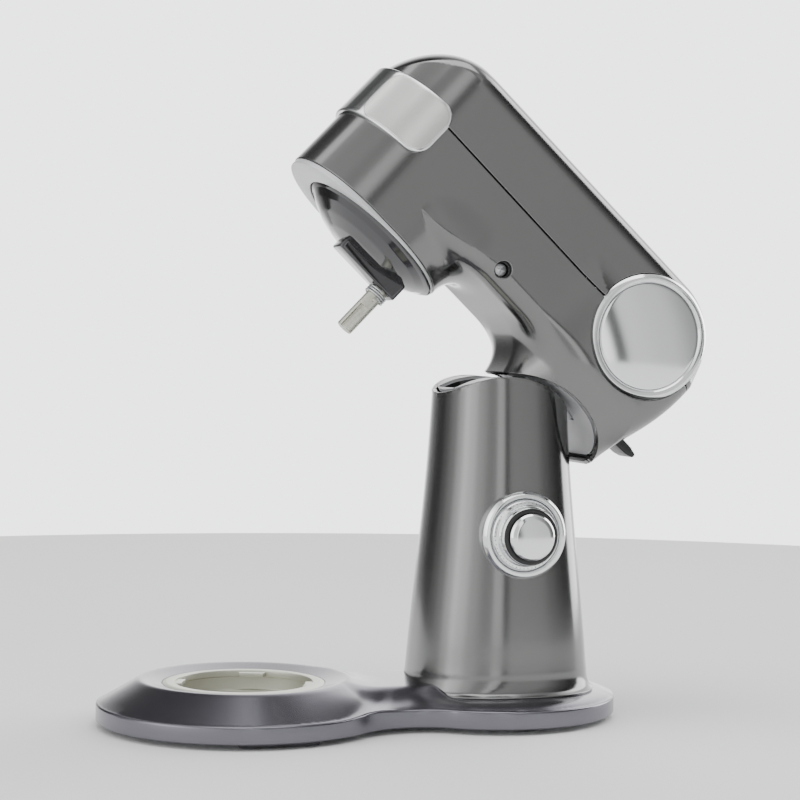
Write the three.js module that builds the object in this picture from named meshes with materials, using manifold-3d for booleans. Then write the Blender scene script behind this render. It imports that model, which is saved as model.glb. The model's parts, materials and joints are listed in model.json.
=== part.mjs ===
// Tilt-head stand mixer with its head raised and no bowl fitted.
// Millimetres, +Z up, the floor at z = 0. The nose points along -Y and the speed knob along +X.
// Head parts are drawn with the head level, measured from the tilt hinge, and then tilted as a group.

import * as THREE from 'three';
import { mergeVertices } from 'three/addons/utils/BufferGeometryUtils.js';
import Module from 'manifold-3d';

const wasm = await Module();
wasm.setup();

// Driving dimensions

const GAP = 0.3; // clearance between pieces that touch
const HEAD_TILT = 44; // degrees that the head is raised by
const HINGE_Y = -8;
const HINGE_Z = 173;
const CENTRE_SHIFT_Y = 71.32; // puts the middle of the raised machine over the origin

const DISC_Y = -182; // bowl axis
const DISC_R = 100;
const LOBE_Y = -5; // rear lobe of the base, under the column
const LOBE_R = 88.5;
const WAIST_R = 52.6;
const WAIST_HALF = 64;
const BASE_LOW = 3.5;
const BASE_EDGE = 14.5; // top of the upright side wall
const LOBE_TOP = 20.5;
const PLATEAU_TOP = 31.7;
const PLATEAU_R = 71;
const DISH_Z = 28.3;

const SADDLE_R = 66; // top of the column, round the hinge axis
const NECK_R = 68.5; // hollow of the neck, round the same axis
const COLUMN_LOW = LOBE_TOP + GAP;
const COLUMN_WALL = 3.5;
const KNOB_Z = 131;
const PIN_R = 8;

const NOSE_HALF = 57; // half width of the nose
const REAR_HALF = 55;
const HEAD_FRONT = -249;
const HEAD_TOP = 184; // at the nose; the top line climbs a little to the tail
const HEAD_WALL = 3.5;
const TAIL_Y = 4.5; // centre of the round tail and of the side medallions
const TAIL_Z = 135.5;
const TAIL_R = 50;
const BEAM_LOW = 80;
const NOSE_LOW = 56.5;
const SPLIT_Z = 132; // joint between the lower casting and the top cover

const AXIS_Y = -174; // planetary axis, over the bowl axis when the head is down
const BELL_R = 54.8;
const NOSE_REAR = AXIS_Y + NOSE_HALF; // back of the skirt round the bell
const BEATER_OFFSET = 30;
const SHAFT_R = 6;
const SPUR_MODULE = 1.85; // main gear and pinion
const PLANET_MODULE = 2; // ring gear and planet
const LAY_Y = AXIS_Y + 55.5; // intermediate shaft
const MOTOR_Y = 0;
const HUB_Z = 121;

// Solids

// Joins shared corners and makes the faces point outwards.
function closed(geometry) {
  const plain = geometry.clone();
  plain.deleteAttribute('normal');
  plain.deleteAttribute('uv');
  const merged = mergeVertices(plain, 1e-4);
  const p = merged.attributes.position;
  const index = merged.index.array;
  const [a, b, c] = [new THREE.Vector3(), new THREE.Vector3(), new THREE.Vector3()];
  let volume = 0;
  for (let i = 0; i < index.length; i += 3) {
    a.fromBufferAttribute(p, index[i]);
    b.fromBufferAttribute(p, index[i + 1]);
    c.fromBufferAttribute(p, index[i + 2]);
    volume += a.dot(b.cross(c));
  }
  if (volume < 0) {
    for (let i = 0; i < index.length; i += 3) {
      [index[i + 1], index[i + 2]] = [index[i + 2], index[i + 1]];
    }
  }
  return merged;
}

function solid(geometry) {
  const merged = closed(geometry);
  return new wasm.Manifold(new wasm.Mesh({
    numProp: 3,
    vertProperties: new Float32Array(merged.attributes.position.array),
    triVerts: new Uint32Array(merged.index.array),
  }));
}

function toGeometry(body) {
  const mesh = body.getMesh();
  const geometry = new THREE.BufferGeometry();
  geometry.setAttribute('position', new THREE.BufferAttribute(mesh.vertProperties, 3));
  geometry.setIndex(new THREE.BufferAttribute(mesh.triVerts, 1));
  geometry.computeVertexNormals();
  return geometry;
}

const join = (first, ...others) => others.reduce((sum, other) => sum.add(other), first);
const cut = (first, ...others) => others.reduce((rest, other) => rest.subtract(other), first);

const Z_UP = new THREE.Matrix4();
const ALONG_X = new THREE.Matrix4().makeBasis(
  new THREE.Vector3(0, 1, 0), new THREE.Vector3(0, 0, 1), new THREE.Vector3(1, 0, 0));
const ALONG_Y = new THREE.Matrix4().makeBasis(
  new THREE.Vector3(0, 0, 1), new THREE.Vector3(1, 0, 0), new THREE.Vector3(0, 1, 0));

// A shape drawn in its own plane and pushed from low to high along the chosen axis.
function prism(shape, low, high, axis = Z_UP, segments = 5) {
  const geometry = new THREE.ExtrudeGeometry(shape, {
    depth: high - low, bevelEnabled: false, curveSegments: segments,
  });
  geometry.translate(0, 0, low);
  geometry.applyMatrix4(axis);
  return solid(geometry);
}

// The same with both end edges eased by a slope or a round.
function eased(shape, low, high, round, rise, steps, axis = Z_UP, segments = 5) {
  const geometry = new THREE.ExtrudeGeometry(shape, {
    depth: high - low - 2 * rise, bevelEnabled: true, bevelSize: round, bevelOffset: -round,
    bevelThickness: rise, bevelSegments: steps, curveSegments: segments,
  });
  geometry.translate(0, 0, low + rise);
  geometry.applyMatrix4(axis);
  return solid(geometry);
}

function rod(radius, low, high, centre = [0, 0], axis = Z_UP, sides = 24) {
  const geometry = new THREE.CylinderGeometry(radius, radius, high - low, sides);
  geometry.rotateX(Math.PI / 2);
  geometry.translate(centre[0], centre[1], (low + high) / 2);
  geometry.applyMatrix4(axis);
  return solid(geometry);
}

function block(x, y, z) {
  const geometry = new THREE.BoxGeometry(x[1] - x[0], y[1] - y[0], z[1] - z[0]);
  geometry.translate((x[0] + x[1]) / 2, (y[0] + y[1]) / 2, (z[0] + z[1]) / 2);
  return solid(geometry);
}

// A profile of [radius, height] pairs turned round the Z axis.
function turned(profile, centre = [0, 0], axis = Z_UP, sides = 28) {
  const geometry = new THREE.LatheGeometry(profile.map(([r, z]) => new THREE.Vector2(r, z)), sides);
  geometry.rotateX(Math.PI / 2);
  geometry.translate(centre[0], centre[1], 0);
  geometry.applyMatrix4(axis);
  return solid(geometry);
}

function ring(outer, inner, low, high, centre = [0, 0], axis = Z_UP, sides = 28) {
  const profile = [[inner, low], [outer, low], [outer, high], [inner, high], [inner, low]];
  return turned(profile, centre, axis, sides);
}

function roundedRect(x0, x1, y0, y1, r) {
  const shape = new THREE.Shape();
  shape.absarc(x1 - r, y0 + r, r, -Math.PI / 2, 0, false);
  shape.absarc(x1 - r, y1 - r, r, 0, Math.PI / 2, false);
  shape.absarc(x0 + r, y1 - r, r, Math.PI / 2, Math.PI, false);
  shape.absarc(x0 + r, y0 + r, r, Math.PI, 1.5 * Math.PI, false);
  shape.closePath();
  return shape;
}

// Spur gear outline with straight-flanked teeth and plenty of backlash. inward draws a ring gear's hole.
function gearShape(teeth, size, inward = false) {
  const pitch = teeth * size / 2;
  const tip = pitch + (inward ? -0.7 : 0.7) * size;
  const root = pitch + (inward ? 1.1 : -1.1) * size;
  const step = 2 * Math.PI / teeth;
  const points = [];
  for (let tooth = 0; tooth < teeth; tooth++) {
    const corners = [[root, -0.27], [tip, -0.11], [tip, 0.11], [root, 0.27]];
    for (const [radius, share] of corners) {
      const angle = (tooth + share) * step;
      points.push(new THREE.Vector2(radius * Math.cos(angle), radius * Math.sin(angle)));
    }
  }
  return points;
}

// Model tree: the head is a group inside the whole

const mixer = new THREE.Group();
const stand = new THREE.Group();
const head = new THREE.Group();
mixer.add(stand, head);
mixer.position.y = CENTRE_SHIFT_Y;
head.position.set(0, HINGE_Y, HINGE_Z);
head.rotation.x = -THREE.MathUtils.degToRad(HEAD_TILT);

const FINISHES = {
  gunmetal: { color: 0x6c6b6b, metalness: 0.6, roughness: 0.32 },
  base_gunmetal: { color: 0x65636a, metalness: 0.6, roughness: 0.38 },
  bell_gunmetal: { color: 0x4b4a4b, metalness: 0.7, roughness: 0.25 },
  pale_plastic: { color: 0xb4b5b8, metalness: 0.1, roughness: 0.5 },
  chrome: { color: 0xd6d8da, metalness: 1.0, roughness: 0.08 },
  satin_chrome: { color: 0xb7b7b4, metalness: 0.9, roughness: 0.25 },
  black_plastic: { color: 0x16171a, metalness: 0.0, roughness: 0.4 },
  rubber: { color: 0x17181a, metalness: 0.0, roughness: 0.8 },
  nickel: { color: 0x9c9a86, metalness: 0.9, roughness: 0.3 },
  steel: { color: 0x9a9c9e, metalness: 0.9, roughness: 0.35 },
  bronze: { color: 0x9a6f3c, metalness: 0.9, roughness: 0.4 },
  copper_steel: { color: 0x84604a, metalness: 0.7, roughness: 0.5 },
  nylon: { color: 0xdcd8cc, metalness: 0.0, roughness: 0.55 },
  board_green: { color: 0x1f5a3a, metalness: 0.0, roughness: 0.5 },
};

function place(group, name, body, finish) {
  const mesh = new THREE.Mesh(toGeometry(body), new THREE.MeshStandardMaterial(FINISHES[finish]));
  mesh.name = name;
  group.add(mesh);
}

// Base

// Plan of the base: two round lobes joined by hollow waists, drawn smaller by inset.
function basePlan(inset) {
  const waistX = WAIST_HALF + WAIST_R;
  const reach = DISC_R + WAIST_R;
  const waistY = DISC_Y + Math.sqrt(reach * reach - waistX * waistX);
  const front = Math.atan2(waistY - DISC_Y, waistX);
  const rear = Math.atan2(LOBE_Y - waistY, waistX);
  const hollow = WAIST_R + inset;
  const shape = new THREE.Shape();
  shape.absarc(0, DISC_Y, DISC_R - inset, Math.PI - front, 2 * Math.PI + front, false);
  shape.absarc(waistX, waistY, hollow, Math.PI + front, Math.PI - rear, true);
  shape.absarc(0, LOBE_Y, LOBE_R - inset, -rear, Math.PI + rear, false);
  shape.absarc(-waistX, waistY, hollow, rear, -front, true);
  shape.closePath();
  return shape;
}

const GLAND_Z = 9.2; // height of the mains cord inlet in the back edge
const COLUMN_SCREWS = [[-34, -34], [34, -34], [34, 38], [-34, 38]];
const CLAMP_R = 55.5;
const CLAMP_BORE = 47;

function baseCasting() {
  const slope = LOBE_TOP - BASE_EDGE;
  const skirt = prism(basePlan(0), BASE_LOW, BASE_EDGE, Z_UP, 9);
  const lobes = eased(basePlan(0), BASE_EDGE - 2 - slope, LOBE_TOP, 14, slope, 1, Z_UP, 9);
  const bridge = eased(roundedRect(-36, 36, -128, -40, 12), 8, PLATEAU_TOP - 4.5, 8, 7, 1);
  const cone = turned([
    [0, BASE_LOW + 2], [DISC_R, BASE_LOW + 2], [DISC_R, BASE_EDGE],
    [PLATEAU_R, PLATEAU_TOP], [0, PLATEAU_TOP]], [0, DISC_Y], Z_UP, 32);
  const dish = turned([
    [0, DISH_Z], [CLAMP_R + 0.6, DISH_Z], [PLATEAU_R - 0.6, PLATEAU_TOP],
    [PLATEAU_R - 0.6, 40], [0, 40]], [0, DISC_Y], Z_UP, 32);
  const under = prism(basePlan(4), -5, BASE_EDGE - 3);
  const underCone = turned([
    [0, 0], [DISC_R - 5, 0], [DISC_R - 5, BASE_EDGE - 3], [76, 23.5], [0, 23.5]], [0, DISC_Y], Z_UP, 24);
  const columnClear = block([-70, 70], [-69, 70], [LOBE_TOP, 60]);
  return cut(
    join(skirt, lobes, cone, cut(bridge, columnClear)), dish, under, underCone,
    rod(CLAMP_R + 0.6, 26.2, 40, [0, DISC_Y], Z_UP, 32),
    rod(51.2, 10, 40, [0, DISC_Y], Z_UP, 32),
    rod(18, 5, 30, [0, 0]),
    ...COLUMN_SCREWS.map((centre) => rod(3, 5, 30, centre, Z_UP, 10)),
    rod(3.6, 60, 100, [GLAND_Z, 0], ALONG_Y, 16));
}

const LUG_ANGLES = [70, 160, 250, 340];

// Plated cup with four lugs that lock the bowl.
function bowlClamp() {
  const floor = 11.5;
  const cup = turned([
    [0, 9.5], [50.5, 9.5], [50.5, 26.5], [CLAMP_R, 26.5], [CLAMP_R, DISH_Z],
    [CLAMP_R - 3, 29], [CLAMP_BORE, 29], [CLAMP_BORE, floor], [0, floor]], [0, DISC_Y], Z_UP, 32);
  const lugs = LUG_ANGLES.map((degrees) => {
    const centre = THREE.MathUtils.degToRad(degrees);
    const half = THREE.MathUtils.degToRad(12);
    const shape = new THREE.Shape();
    shape.absarc(0, 0, CLAMP_BORE + 1, centre - half, centre + half, false);
    shape.absarc(0, 0, CLAMP_BORE - 5, centre + half, centre - half, true);
    shape.closePath();
    const geometry = new THREE.ExtrudeGeometry(shape, { depth: 3, bevelEnabled: false, curveSegments: 3 });
    geometry.translate(0, DISC_Y, 25);
    return solid(geometry);
  });
  const holes = [0, 120, 240].map((degrees) => {
    const angle = THREE.MathUtils.degToRad(degrees);
    return rod(2.6, 5, 20, [30 * Math.cos(angle), DISC_Y + 30 * Math.sin(angle)], Z_UP, 16);
  });
  return cut(join(cup, ...lugs), ...holes);
}

// Pan-head screw standing on its shank, head up, with a cross slot.
function screw(radius, length, centre, low, axis = Z_UP, sides = 10) {
  const top = low + length;
  const headRise = radius * 1.1;
  const body = join(
    rod(radius, low, top, centre, axis, sides),
    rod(radius * 1.9, top - headRise, top, centre, axis, sides));
  const arm = radius * 1.2;
  const slot = new THREE.Shape();
  const [u, v] = centre;
  const t = radius * 0.25;
  slot.moveTo(u - arm, v - t).lineTo(u + arm, v - t).lineTo(u + arm, v + t).lineTo(u - arm, v + t).closePath();
  return cut(body, prism(slot, top - headRise * 0.5, top + 1, axis));
}

place(stand, 'base_casting', baseCasting(), 'base_gunmetal');
place(stand, 'base_cover', prism(basePlan(4.6), BASE_LOW, BASE_LOW + 2), 'steel');
for (const side of [-1, 1]) {
  const name = side < 0 ? 'left' : 'right';
  const [inner, outer] = [side * 72, side * 91].sort((a, b) => a - b);
  const front = roundedRect(inner, outer, DISC_Y - 22, DISC_Y + 32, 8);
  place(stand, `foot_front_${name}`, prism(front, 0, BASE_LOW - GAP, Z_UP, 3), 'rubber');
  place(stand, `foot_rear_${name}`, rod(14, 0, BASE_LOW - GAP, [side * 60, -2], Z_UP, 28), 'rubber');
}
place(stand, 'bowl_clamp', bowlClamp(), 'nickel');
place(stand, 'cord_gland', ring(3.3, 2, 76.4, LOBE_Y + LOBE_R, [GLAND_Z, 0], ALONG_Y, 16), 'rubber');

// Column

// Half width and half depth of the column at some heights.
const COLUMN_STATIONS = [
  [COLUMN_LOW, 66, 68], [26, 61.5, 65], [36, 59, 62.5], [100, 55.6, 55.5], [172, 51, 48.6], [245, 46.5, 44.2]];

function columnAt(z) {
  const last = COLUMN_STATIONS.length - 1;
  for (let i = 0; i < last; i++) {
    const [z0, a0, b0] = COLUMN_STATIONS[i];
    const [z1, a1, b1] = COLUMN_STATIONS[i + 1];
    if (z <= z1 || i === last - 1) {
      const t = (z - z0) / (z1 - z0);
      return [a0 + t * (a1 - a0), b0 + t * (b1 - b0)];
    }
  }
  return COLUMN_STATIONS[last].slice(1);
}

// Tapered tower with a squared-round section, drawn smaller by inset.
function tower(inset, low, high) {
  const levels = COLUMN_STATIONS.map(([z]) => z).filter((z) => z > low && z < high);
  const profile = [[0, low], ...[low, ...levels, high].map((z) => [1, z]), [0, high]];
  const geometry = new THREE.LatheGeometry(profile.map(([r, z]) => new THREE.Vector2(r, z)), 28);
  geometry.rotateX(Math.PI / 2);
  const p = geometry.attributes.position;
  const power = 2.5;
  for (let i = 0; i < p.count; i++) {
    const [x, y, z] = [p.getX(i), p.getY(i), p.getZ(i)];
    const radius = Math.hypot(x, y);
    if (radius < 0.5) continue;
    const [halfX, halfY] = columnAt(z);
    const square = (Math.abs(x) ** power + Math.abs(y) ** power) ** (-1 / power);
    p.setXY(i, x * square * (halfX - inset), y * square * (halfY - inset));
  }
  return solid(geometry);
}

const aroundHinge = (radius, sides = 60) => rod(radius, -90, 90, [HINGE_Y, HINGE_Z], ALONG_X, sides);

function columnCasting() {
  const capBed = SADDLE_R - 3.3;
  const crown = join(aroundHinge(capBed), block([-90, 90], [-90, 90], [0, HINGE_Z]));
  const outer = tower(0, COLUMN_LOW, 245).intersect(crown);
  const ears = [-1, 1].map((side) => {
    const x = [side * 20, side * 55].sort((a, b) => a - b);
    return block(x, [HINGE_Y - 17, HINGE_Y + 17], [HINGE_Z - 24, HINGE_Z + 16]);
  });
  const bosses = COLUMN_SCREWS.map((centre) => rod(7, COLUMN_LOW, 52, centre, Z_UP, 12));
  const ribs = COLUMN_SCREWS.map(([x, y]) => block(
    [Math.min(x, x * 1.5), Math.max(x, x * 1.5)], [y - 1.5, y + 1.5], [COLUMN_LOW, 50]));
  const inside = join(...ears, ...bosses, ...ribs).intersect(tower(1, COLUMN_LOW, 240));
  const hollow = tower(COLUMN_WALL, 10, 250);
  return cut(
    join(cut(outer, hollow), inside),
    block([-20, 20], [30, 60], [HINGE_Z + 16, 250]),
    rod(10.4, -46.5, 46.5, [HINGE_Y, HINGE_Z], ALONG_X, 20),
    rod(12.5, 20, 80, [0, KNOB_Z], ALONG_X, 20),
    rod(30.4, 53.9, 80, [0, KNOB_Z], ALONG_X, 28),
    ...COLUMN_SCREWS.map((centre) => rod(2.8, 5, 42, centre, Z_UP, 10)));
}

// Pale cap that closes the column round the hinge, slotted for the hinge arm.
function columnCap() {
  const shell = cut(aroundHinge(SADDLE_R), aroundHinge(SADDLE_R - 3));
  const above = block([-80, 80], [-80, 80], [HINGE_Z + 20, 260]);
  const slot = block([-19, 19], [-38, 60], [HINGE_Z, 260]);
  return cut(tower(0.2, COLUMN_LOW, 245).intersect(shell).intersect(above), slot);
}

place(stand, 'column_casting', columnCasting(), 'gunmetal');
place(stand, 'column_cap', columnCap(), 'pale_plastic');
place(stand, 'hinge_pin', rod(PIN_R, -45, 45, [HINGE_Y, HINGE_Z], ALONG_X, 20), 'steel');
for (const side of [-1, 1]) {
  const [low, high] = [side * 20.5, side * 46].sort((a, b) => a - b);
  const bush = ring(10.1, PIN_R + GAP, low, high, [HINGE_Y, HINGE_Z], ALONG_X, 20);
  place(stand, `hinge_bush_${side < 0 ? 'left' : 'right'}`, bush, 'bronze');
}
COLUMN_SCREWS.forEach(([x, y], i) => {
  const upward = new THREE.Matrix4().makeBasis(
    new THREE.Vector3(1, 0, 0), new THREE.Vector3(0, -1, 0), new THREE.Vector3(0, 0, -1));
  place(stand, `column_screw_${i + 1}`, screw(2.5, 32, [x, -y], -40, upward), 'steel');
});

// Speed control

function knobDial() {
  return turned([
    [0, 57.2], [24, 57.2], [24, 60.2], [21.5, 61.4], [20.5, 68], [18.5, 70], [15.8, 70],
    [15.8, 68], [0, 68]], [0, KNOB_Z], ALONG_X, 28);
}

place(stand, 'knob_bezel', turned([
  [13, 54.2], [30, 54.2], [30, 56.2], [28, 58.6], [25, 59.4], [24.6, 56.8], [13, 56.8], [13, 54.2]],
[0, KNOB_Z], ALONG_X, 28), 'chrome');
place(stand, 'knob_dial', join(knobDial(), rod(3, 46, 60, [0, KNOB_Z], ALONG_X, 16)), 'black_plastic');
place(stand, 'knob_cap', turned([
  [0, 68.3], [15.5, 68.3], [15.5, 72], [14, 74.2], [9, 75.4], [0, 75.8]], [0, KNOB_Z], ALONG_X, 28), 'chrome');
place(stand, 'speed_sensor', cut(
  join(block([30, 44], [-11, 11], [KNOB_Z - 11, KNOB_Z + 11]), rod(6, 43, 53, [0, KNOB_Z], ALONG_X, 20)),
  rod(3.4, 42, 60, [0, KNOB_Z], ALONG_X, 16)), 'black_plastic');
place(stand, 'control_board', block([28, 29.7], [-26, 26], [88, 148]), 'board_green');

// Head castings

// Side outline of the head, in y and z from the hinge, drawn smaller by inset.
function headSide(inset) {
  const frontR = 46;
  const shape = new THREE.Shape();
  shape.moveTo(HEAD_FRONT + 8 + inset, 10);
  shape.lineTo(HEAD_FRONT + inset, 118);
  shape.absarc(HEAD_FRONT + frontR, HEAD_TOP - frontR, frontR - inset, Math.PI, Math.PI / 2, true);
  shape.absarc(TAIL_Y, TAIL_Z, TAIL_R - inset, Math.PI / 2, 0, true);
  shape.lineTo(54 - inset, 114);
  shape.lineTo(50 - inset, 97);
  shape.lineTo(40 - inset, BEAM_LOW + inset);
  shape.lineTo(NOSE_REAR - inset, BEAM_LOW + inset);
  shape.lineTo(NOSE_REAR - inset, 10);
  shape.closePath();
  return shape;
}

// Top outline of the head, in x and y from the hinge: a round nose and a squared-round tail.
function headPlan(inset) {
  const noseR = NOSE_HALF - inset;
  const noseY = HEAD_FRONT + NOSE_HALF;
  const tailR = 14;
  const rearHalf = REAR_HALF - inset;
  const end = TAIL_Y + TAIL_R - inset;
  const corner = tailR - inset;
  const shape = new THREE.Shape();
  shape.absarc(0, noseY, noseR, Math.PI, 2 * Math.PI, false);
  shape.absarc(rearHalf - corner, end - corner, corner, 0, Math.PI / 2, false);
  shape.absarc(-rearHalf + corner, end - corner, corner, Math.PI / 2, Math.PI, false);
  shape.closePath();
  return shape;
}

const hingeBarrel = (radius, sides = 60) => rod(radius, -90, 90, [0, 0], ALONG_X, sides);

function headBody(inset) {
  const half = NOSE_HALF - inset + 0.5;
  const side = eased(headSide(inset), -half, half, 16 - inset, 16 - inset, 2, ALONG_X, 6);
  const behindSkirt = cut(
    block([-80, 80], [AXIS_Y, 0], [0, BEAM_LOW + inset]),
    rod(NOSE_HALF - inset, -5, 100, [0, AXIS_Y], Z_UP, 32));
  return cut(side.intersect(prism(headPlan(inset), -20, 260, Z_UP, 9)), behindSkirt);
}

// Neck that stands over the column, with its foot hollowed round the hinge.
function neckBody(inset) {
  const plan = roundedRect(-50 + inset, 50 - inset, -44 + inset, 46.5 - inset, 34 - inset);
  return prism(plan, 20, 112, Z_UP, 6);
}

const MEDALLION_R = 43.5;
const FASTENER = [-103, 93]; // recessed screws low on both sides of the beam

function headShell() {
  const outer = cut(join(headBody(0), neckBody(0)), hingeBarrel(NECK_R));
  const hollow = cut(
    join(headBody(HEAD_WALL), neckBody(4)),
    block([-60, 60], [NOSE_REAR - HEAD_WALL, -44], [0, BEAM_LOW + HEAD_WALL]));
  const bosses = [-1, 1].map((side) => {
    const [low, high] = [side * 38, side * 54].sort((a, b) => a - b);
    return rod(10.6, low, high, FASTENER, ALONG_X, 24);
  });
  const recesses = [-1, 1].flatMap((side) => {
    const medal = [side * 53, side * 80].sort((a, b) => a - b);
    const mouth = [side * 46, side * 80].sort((a, b) => a - b);
    const shank = [side * 20, side * 60].sort((a, b) => a - b);
    return [
      rod(MEDALLION_R + 0.4, ...medal, [TAIL_Y, TAIL_Z], ALONG_X, 28),
      rod(6, ...mouth, FASTENER, ALONG_X, 20),
      rod(2.9, ...shank, FASTENER, ALONG_X, 16)];
  });
  return cut(
    join(cut(outer, hollow), ...bosses),
    ...recesses,
    rod(17, -300, -225, [HUB_Z, 0], ALONG_Y, 32),
    block([-16, 16], [40, 60], [74, 88]));
}

const shell = headShell();
const lowerRoom = block([-90, 90], [-300, 120], [NOSE_LOW, SPLIT_Z - GAP / 2]);
const neckRoom = block([-90, 90], [-60, 120], [0, NOSE_LOW]);
const upperRoom = block([-90, 90], [-300, 120], [SPLIT_Z + GAP / 2, 260]);
place(head, 'head_lower_casting', shell.intersect(join(lowerRoom, neckRoom)), 'gunmetal');
place(head, 'head_top_cover', shell.intersect(upperRoom), 'gunmetal');

for (const side of [-1, 1]) {
  const name = side < 0 ? 'left' : 'right';
  const out = side < 0 ? ALONG_X.clone().scale(new THREE.Vector3(1, 1, -1)) : ALONG_X;
  const ringProfile = [[37, 53.4], [MEDALLION_R, 53.4], [MEDALLION_R, 56.4], [41, 58.2], [37, 57.2], [37, 53.4]];
  const discProfile = [[0, 53.4], [36.7, 53.4], [36.7, 56.6], [33, 58.6], [20, 60.2], [0, 61]];
  place(head, `side_ring_${name}`, turned(ringProfile, [TAIL_Y, TAIL_Z], out, 28), 'chrome');
  place(head, `side_disc_${name}`, turned(discProfile, [TAIL_Y, TAIL_Z], out, 28), 'chrome');
  place(head, `beam_screw_${name}`, screw(2.6, 16, FASTENER, 34, out), 'steel');
}

// Chrome cover that wraps the nose over the slow-speed outlet and pulls off forwards.
function hubCover() {
  const wrap = cut(
    prism(headPlan(-3.4), 101, 143, Z_UP, 9), prism(headPlan(-0.4), 90, 150, Z_UP, 9));
  const sides = roundedRect(-300, -198, 101, 143, 12);
  return wrap.intersect(prism(sides, -90, 90, ALONG_X, 6));
}
place(head, 'hub_cover', hubCover(), 'satin_chrome');

// Pale plate round the bell.
function nosePlate() {
  const outline = prism(headPlan(0.6), NOSE_LOW - 4, NOSE_LOW - GAP, Z_UP, 9)
    .intersect(block([-80, 80], [HEAD_FRONT + 5, AXIS_Y], [0, 60]));
  const collar = rod(NOSE_HALF - 0.6, NOSE_LOW - 4, NOSE_LOW - GAP, [0, AXIS_Y], Z_UP, 32);
  return cut(join(outline, collar), rod(BELL_R + 0.8, 40, 60, [0, AXIS_Y], Z_UP, 32));
}
place(head, 'nose_plate', nosePlate(), 'pale_plastic');

// Pale plate that closes the foot of the neck, slotted for the hinge arm.
function neckPlate() {
  const shellRing = cut(hingeBarrel(NECK_R + 3.6), hingeBarrel(NECK_R + 0.6));
  return cut(
    shellRing.intersect(neckBody(4.4)).intersect(block([-60, 60], [-60, 60], [20, 90])),
    block([-15, 15], [-36, 24], [0, 100]));
}
place(head, 'neck_plate', neckPlate(), 'pale_plastic');

// Hinge arm and release lever

function hingeArm() {
  const reach = 82;
  const [front, rear] = [-24, 14].map((degrees) => THREE.MathUtils.degToRad(degrees));
  const web = new THREE.Shape();
  web.moveTo(0, 0);
  web.lineTo(reach * Math.sin(rear), reach * Math.cos(rear));
  web.lineTo(reach * Math.sin(front), reach * Math.cos(rear));
  web.lineTo(NECK_R * Math.sin(front), NECK_R * Math.cos(front));
  web.closePath();
  const flange = block([-28, 28], [-36, 30], [77, 82]);
  return cut(
    join(prism(web, -13, 13, ALONG_X), rod(18, -13, 13, [0, 0], ALONG_X, 32), flange),
    rod(PIN_R + 0.4, -30, 30, [0, 0], ALONG_X, 20));
}
place(head, 'hinge_arm', hingeArm(), 'steel');

const LEVER = [38, 80]; // pivot of the release lever
place(head, 'lever_pin', rod(2.6, -22, 22, LEVER, ALONG_X, 16), 'steel');
function releaseLever() {
  const blade = new THREE.Shape();
  blade.moveTo(LEVER[0] - 5, LEVER[1] - 4);
  blade.lineTo(LEVER[0] + 16, LEVER[1] - 3);
  blade.lineTo(LEVER[0] + 33, LEVER[1] - 1);
  blade.lineTo(LEVER[0] + 33, LEVER[1] + 4);
  blade.lineTo(LEVER[0] + 14, LEVER[1] + 4);
  blade.lineTo(LEVER[0] - 5, LEVER[1] + 4);
  blade.closePath();
  return cut(prism(blade, -12, 12, ALONG_X), rod(2.6 + GAP, -30, 30, LEVER, ALONG_X, 16));
}
place(head, 'release_lever', releaseLever(), 'black_plastic');

// Planetary drive

const MAIN_TEETH = 50;
const PINION_TEETH = 10;
const RING_TEETH = 44;
const PLANET_TEETH = 14;

function gear(teeth, size, centre, low, high, bore, phase) {
  const shape = new THREE.Shape(gearShape(teeth, size));
  const geometry = new THREE.ExtrudeGeometry(shape, { depth: high - low, bevelEnabled: false });
  geometry.rotateZ(phase);
  geometry.translate(centre[0], centre[1], low);
  return cut(solid(geometry), rod(bore, low - 1, high + 1, centre, Z_UP, 20));
}

// Half a tooth of turn, so that a tooth meets a gap on the line between two centres.
const halfTooth = (teeth) => Math.PI / teeth;

function planetCarrier() {
  const dome = turned([
    [0, 39], [14, 39], [26, 40.8], [38, 44.4], [47, 48.8], [52.6, 52.2], [BELL_R, 53.4], [BELL_R, 55],
    [50, 56.4], [50, 58.6], [0, 58.6]], [0, AXIS_Y], Z_UP, 32);
  const arm = roundedRect(-11, 11, AXIS_Y - 14, AXIS_Y + BEATER_OFFSET + 10, 3);
  return cut(
    join(dome, prism(arm, 33, 47, Z_UP, 4)),
    rod(7 + GAP, 46, 70, [0, AXIS_Y], Z_UP, 24),
    rod(SHAFT_R + 0.4, 20, 70, [0, AXIS_Y + BEATER_OFFSET], Z_UP, 24));
}

place(head, 'planet_carrier', planetCarrier(), 'bell_gunmetal');
place(head, 'main_shaft', rod(7, 46.5, 132, [0, AXIS_Y], Z_UP, 24), 'steel');
place(head, 'main_gear', gear(MAIN_TEETH, SPUR_MODULE, [0, AXIS_Y], 89, 97, 7 + GAP, Math.PI / 2), 'nylon');
function ringGear() {
  const teeth = new THREE.Shape(gearShape(RING_TEETH, PLANET_MODULE, true));
  const hole = new THREE.ExtrudeGeometry(teeth, { depth: 20, bevelEnabled: false });
  hole.rotateZ(Math.PI / 2 + halfTooth(RING_TEETH));
  hole.translate(0, AXIS_Y, 55);
  return cut(rod(50.4, 59.6, 67.4, [0, AXIS_Y], Z_UP, 36), solid(hole));
}
place(head, 'ring_gear', ringGear(), 'steel');
place(head, 'planet_gear', gear(
  PLANET_TEETH, PLANET_MODULE, [0, AXIS_Y + BEATER_OFFSET], 60, 67, SHAFT_R + GAP, Math.PI / 2), 'steel');

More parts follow.
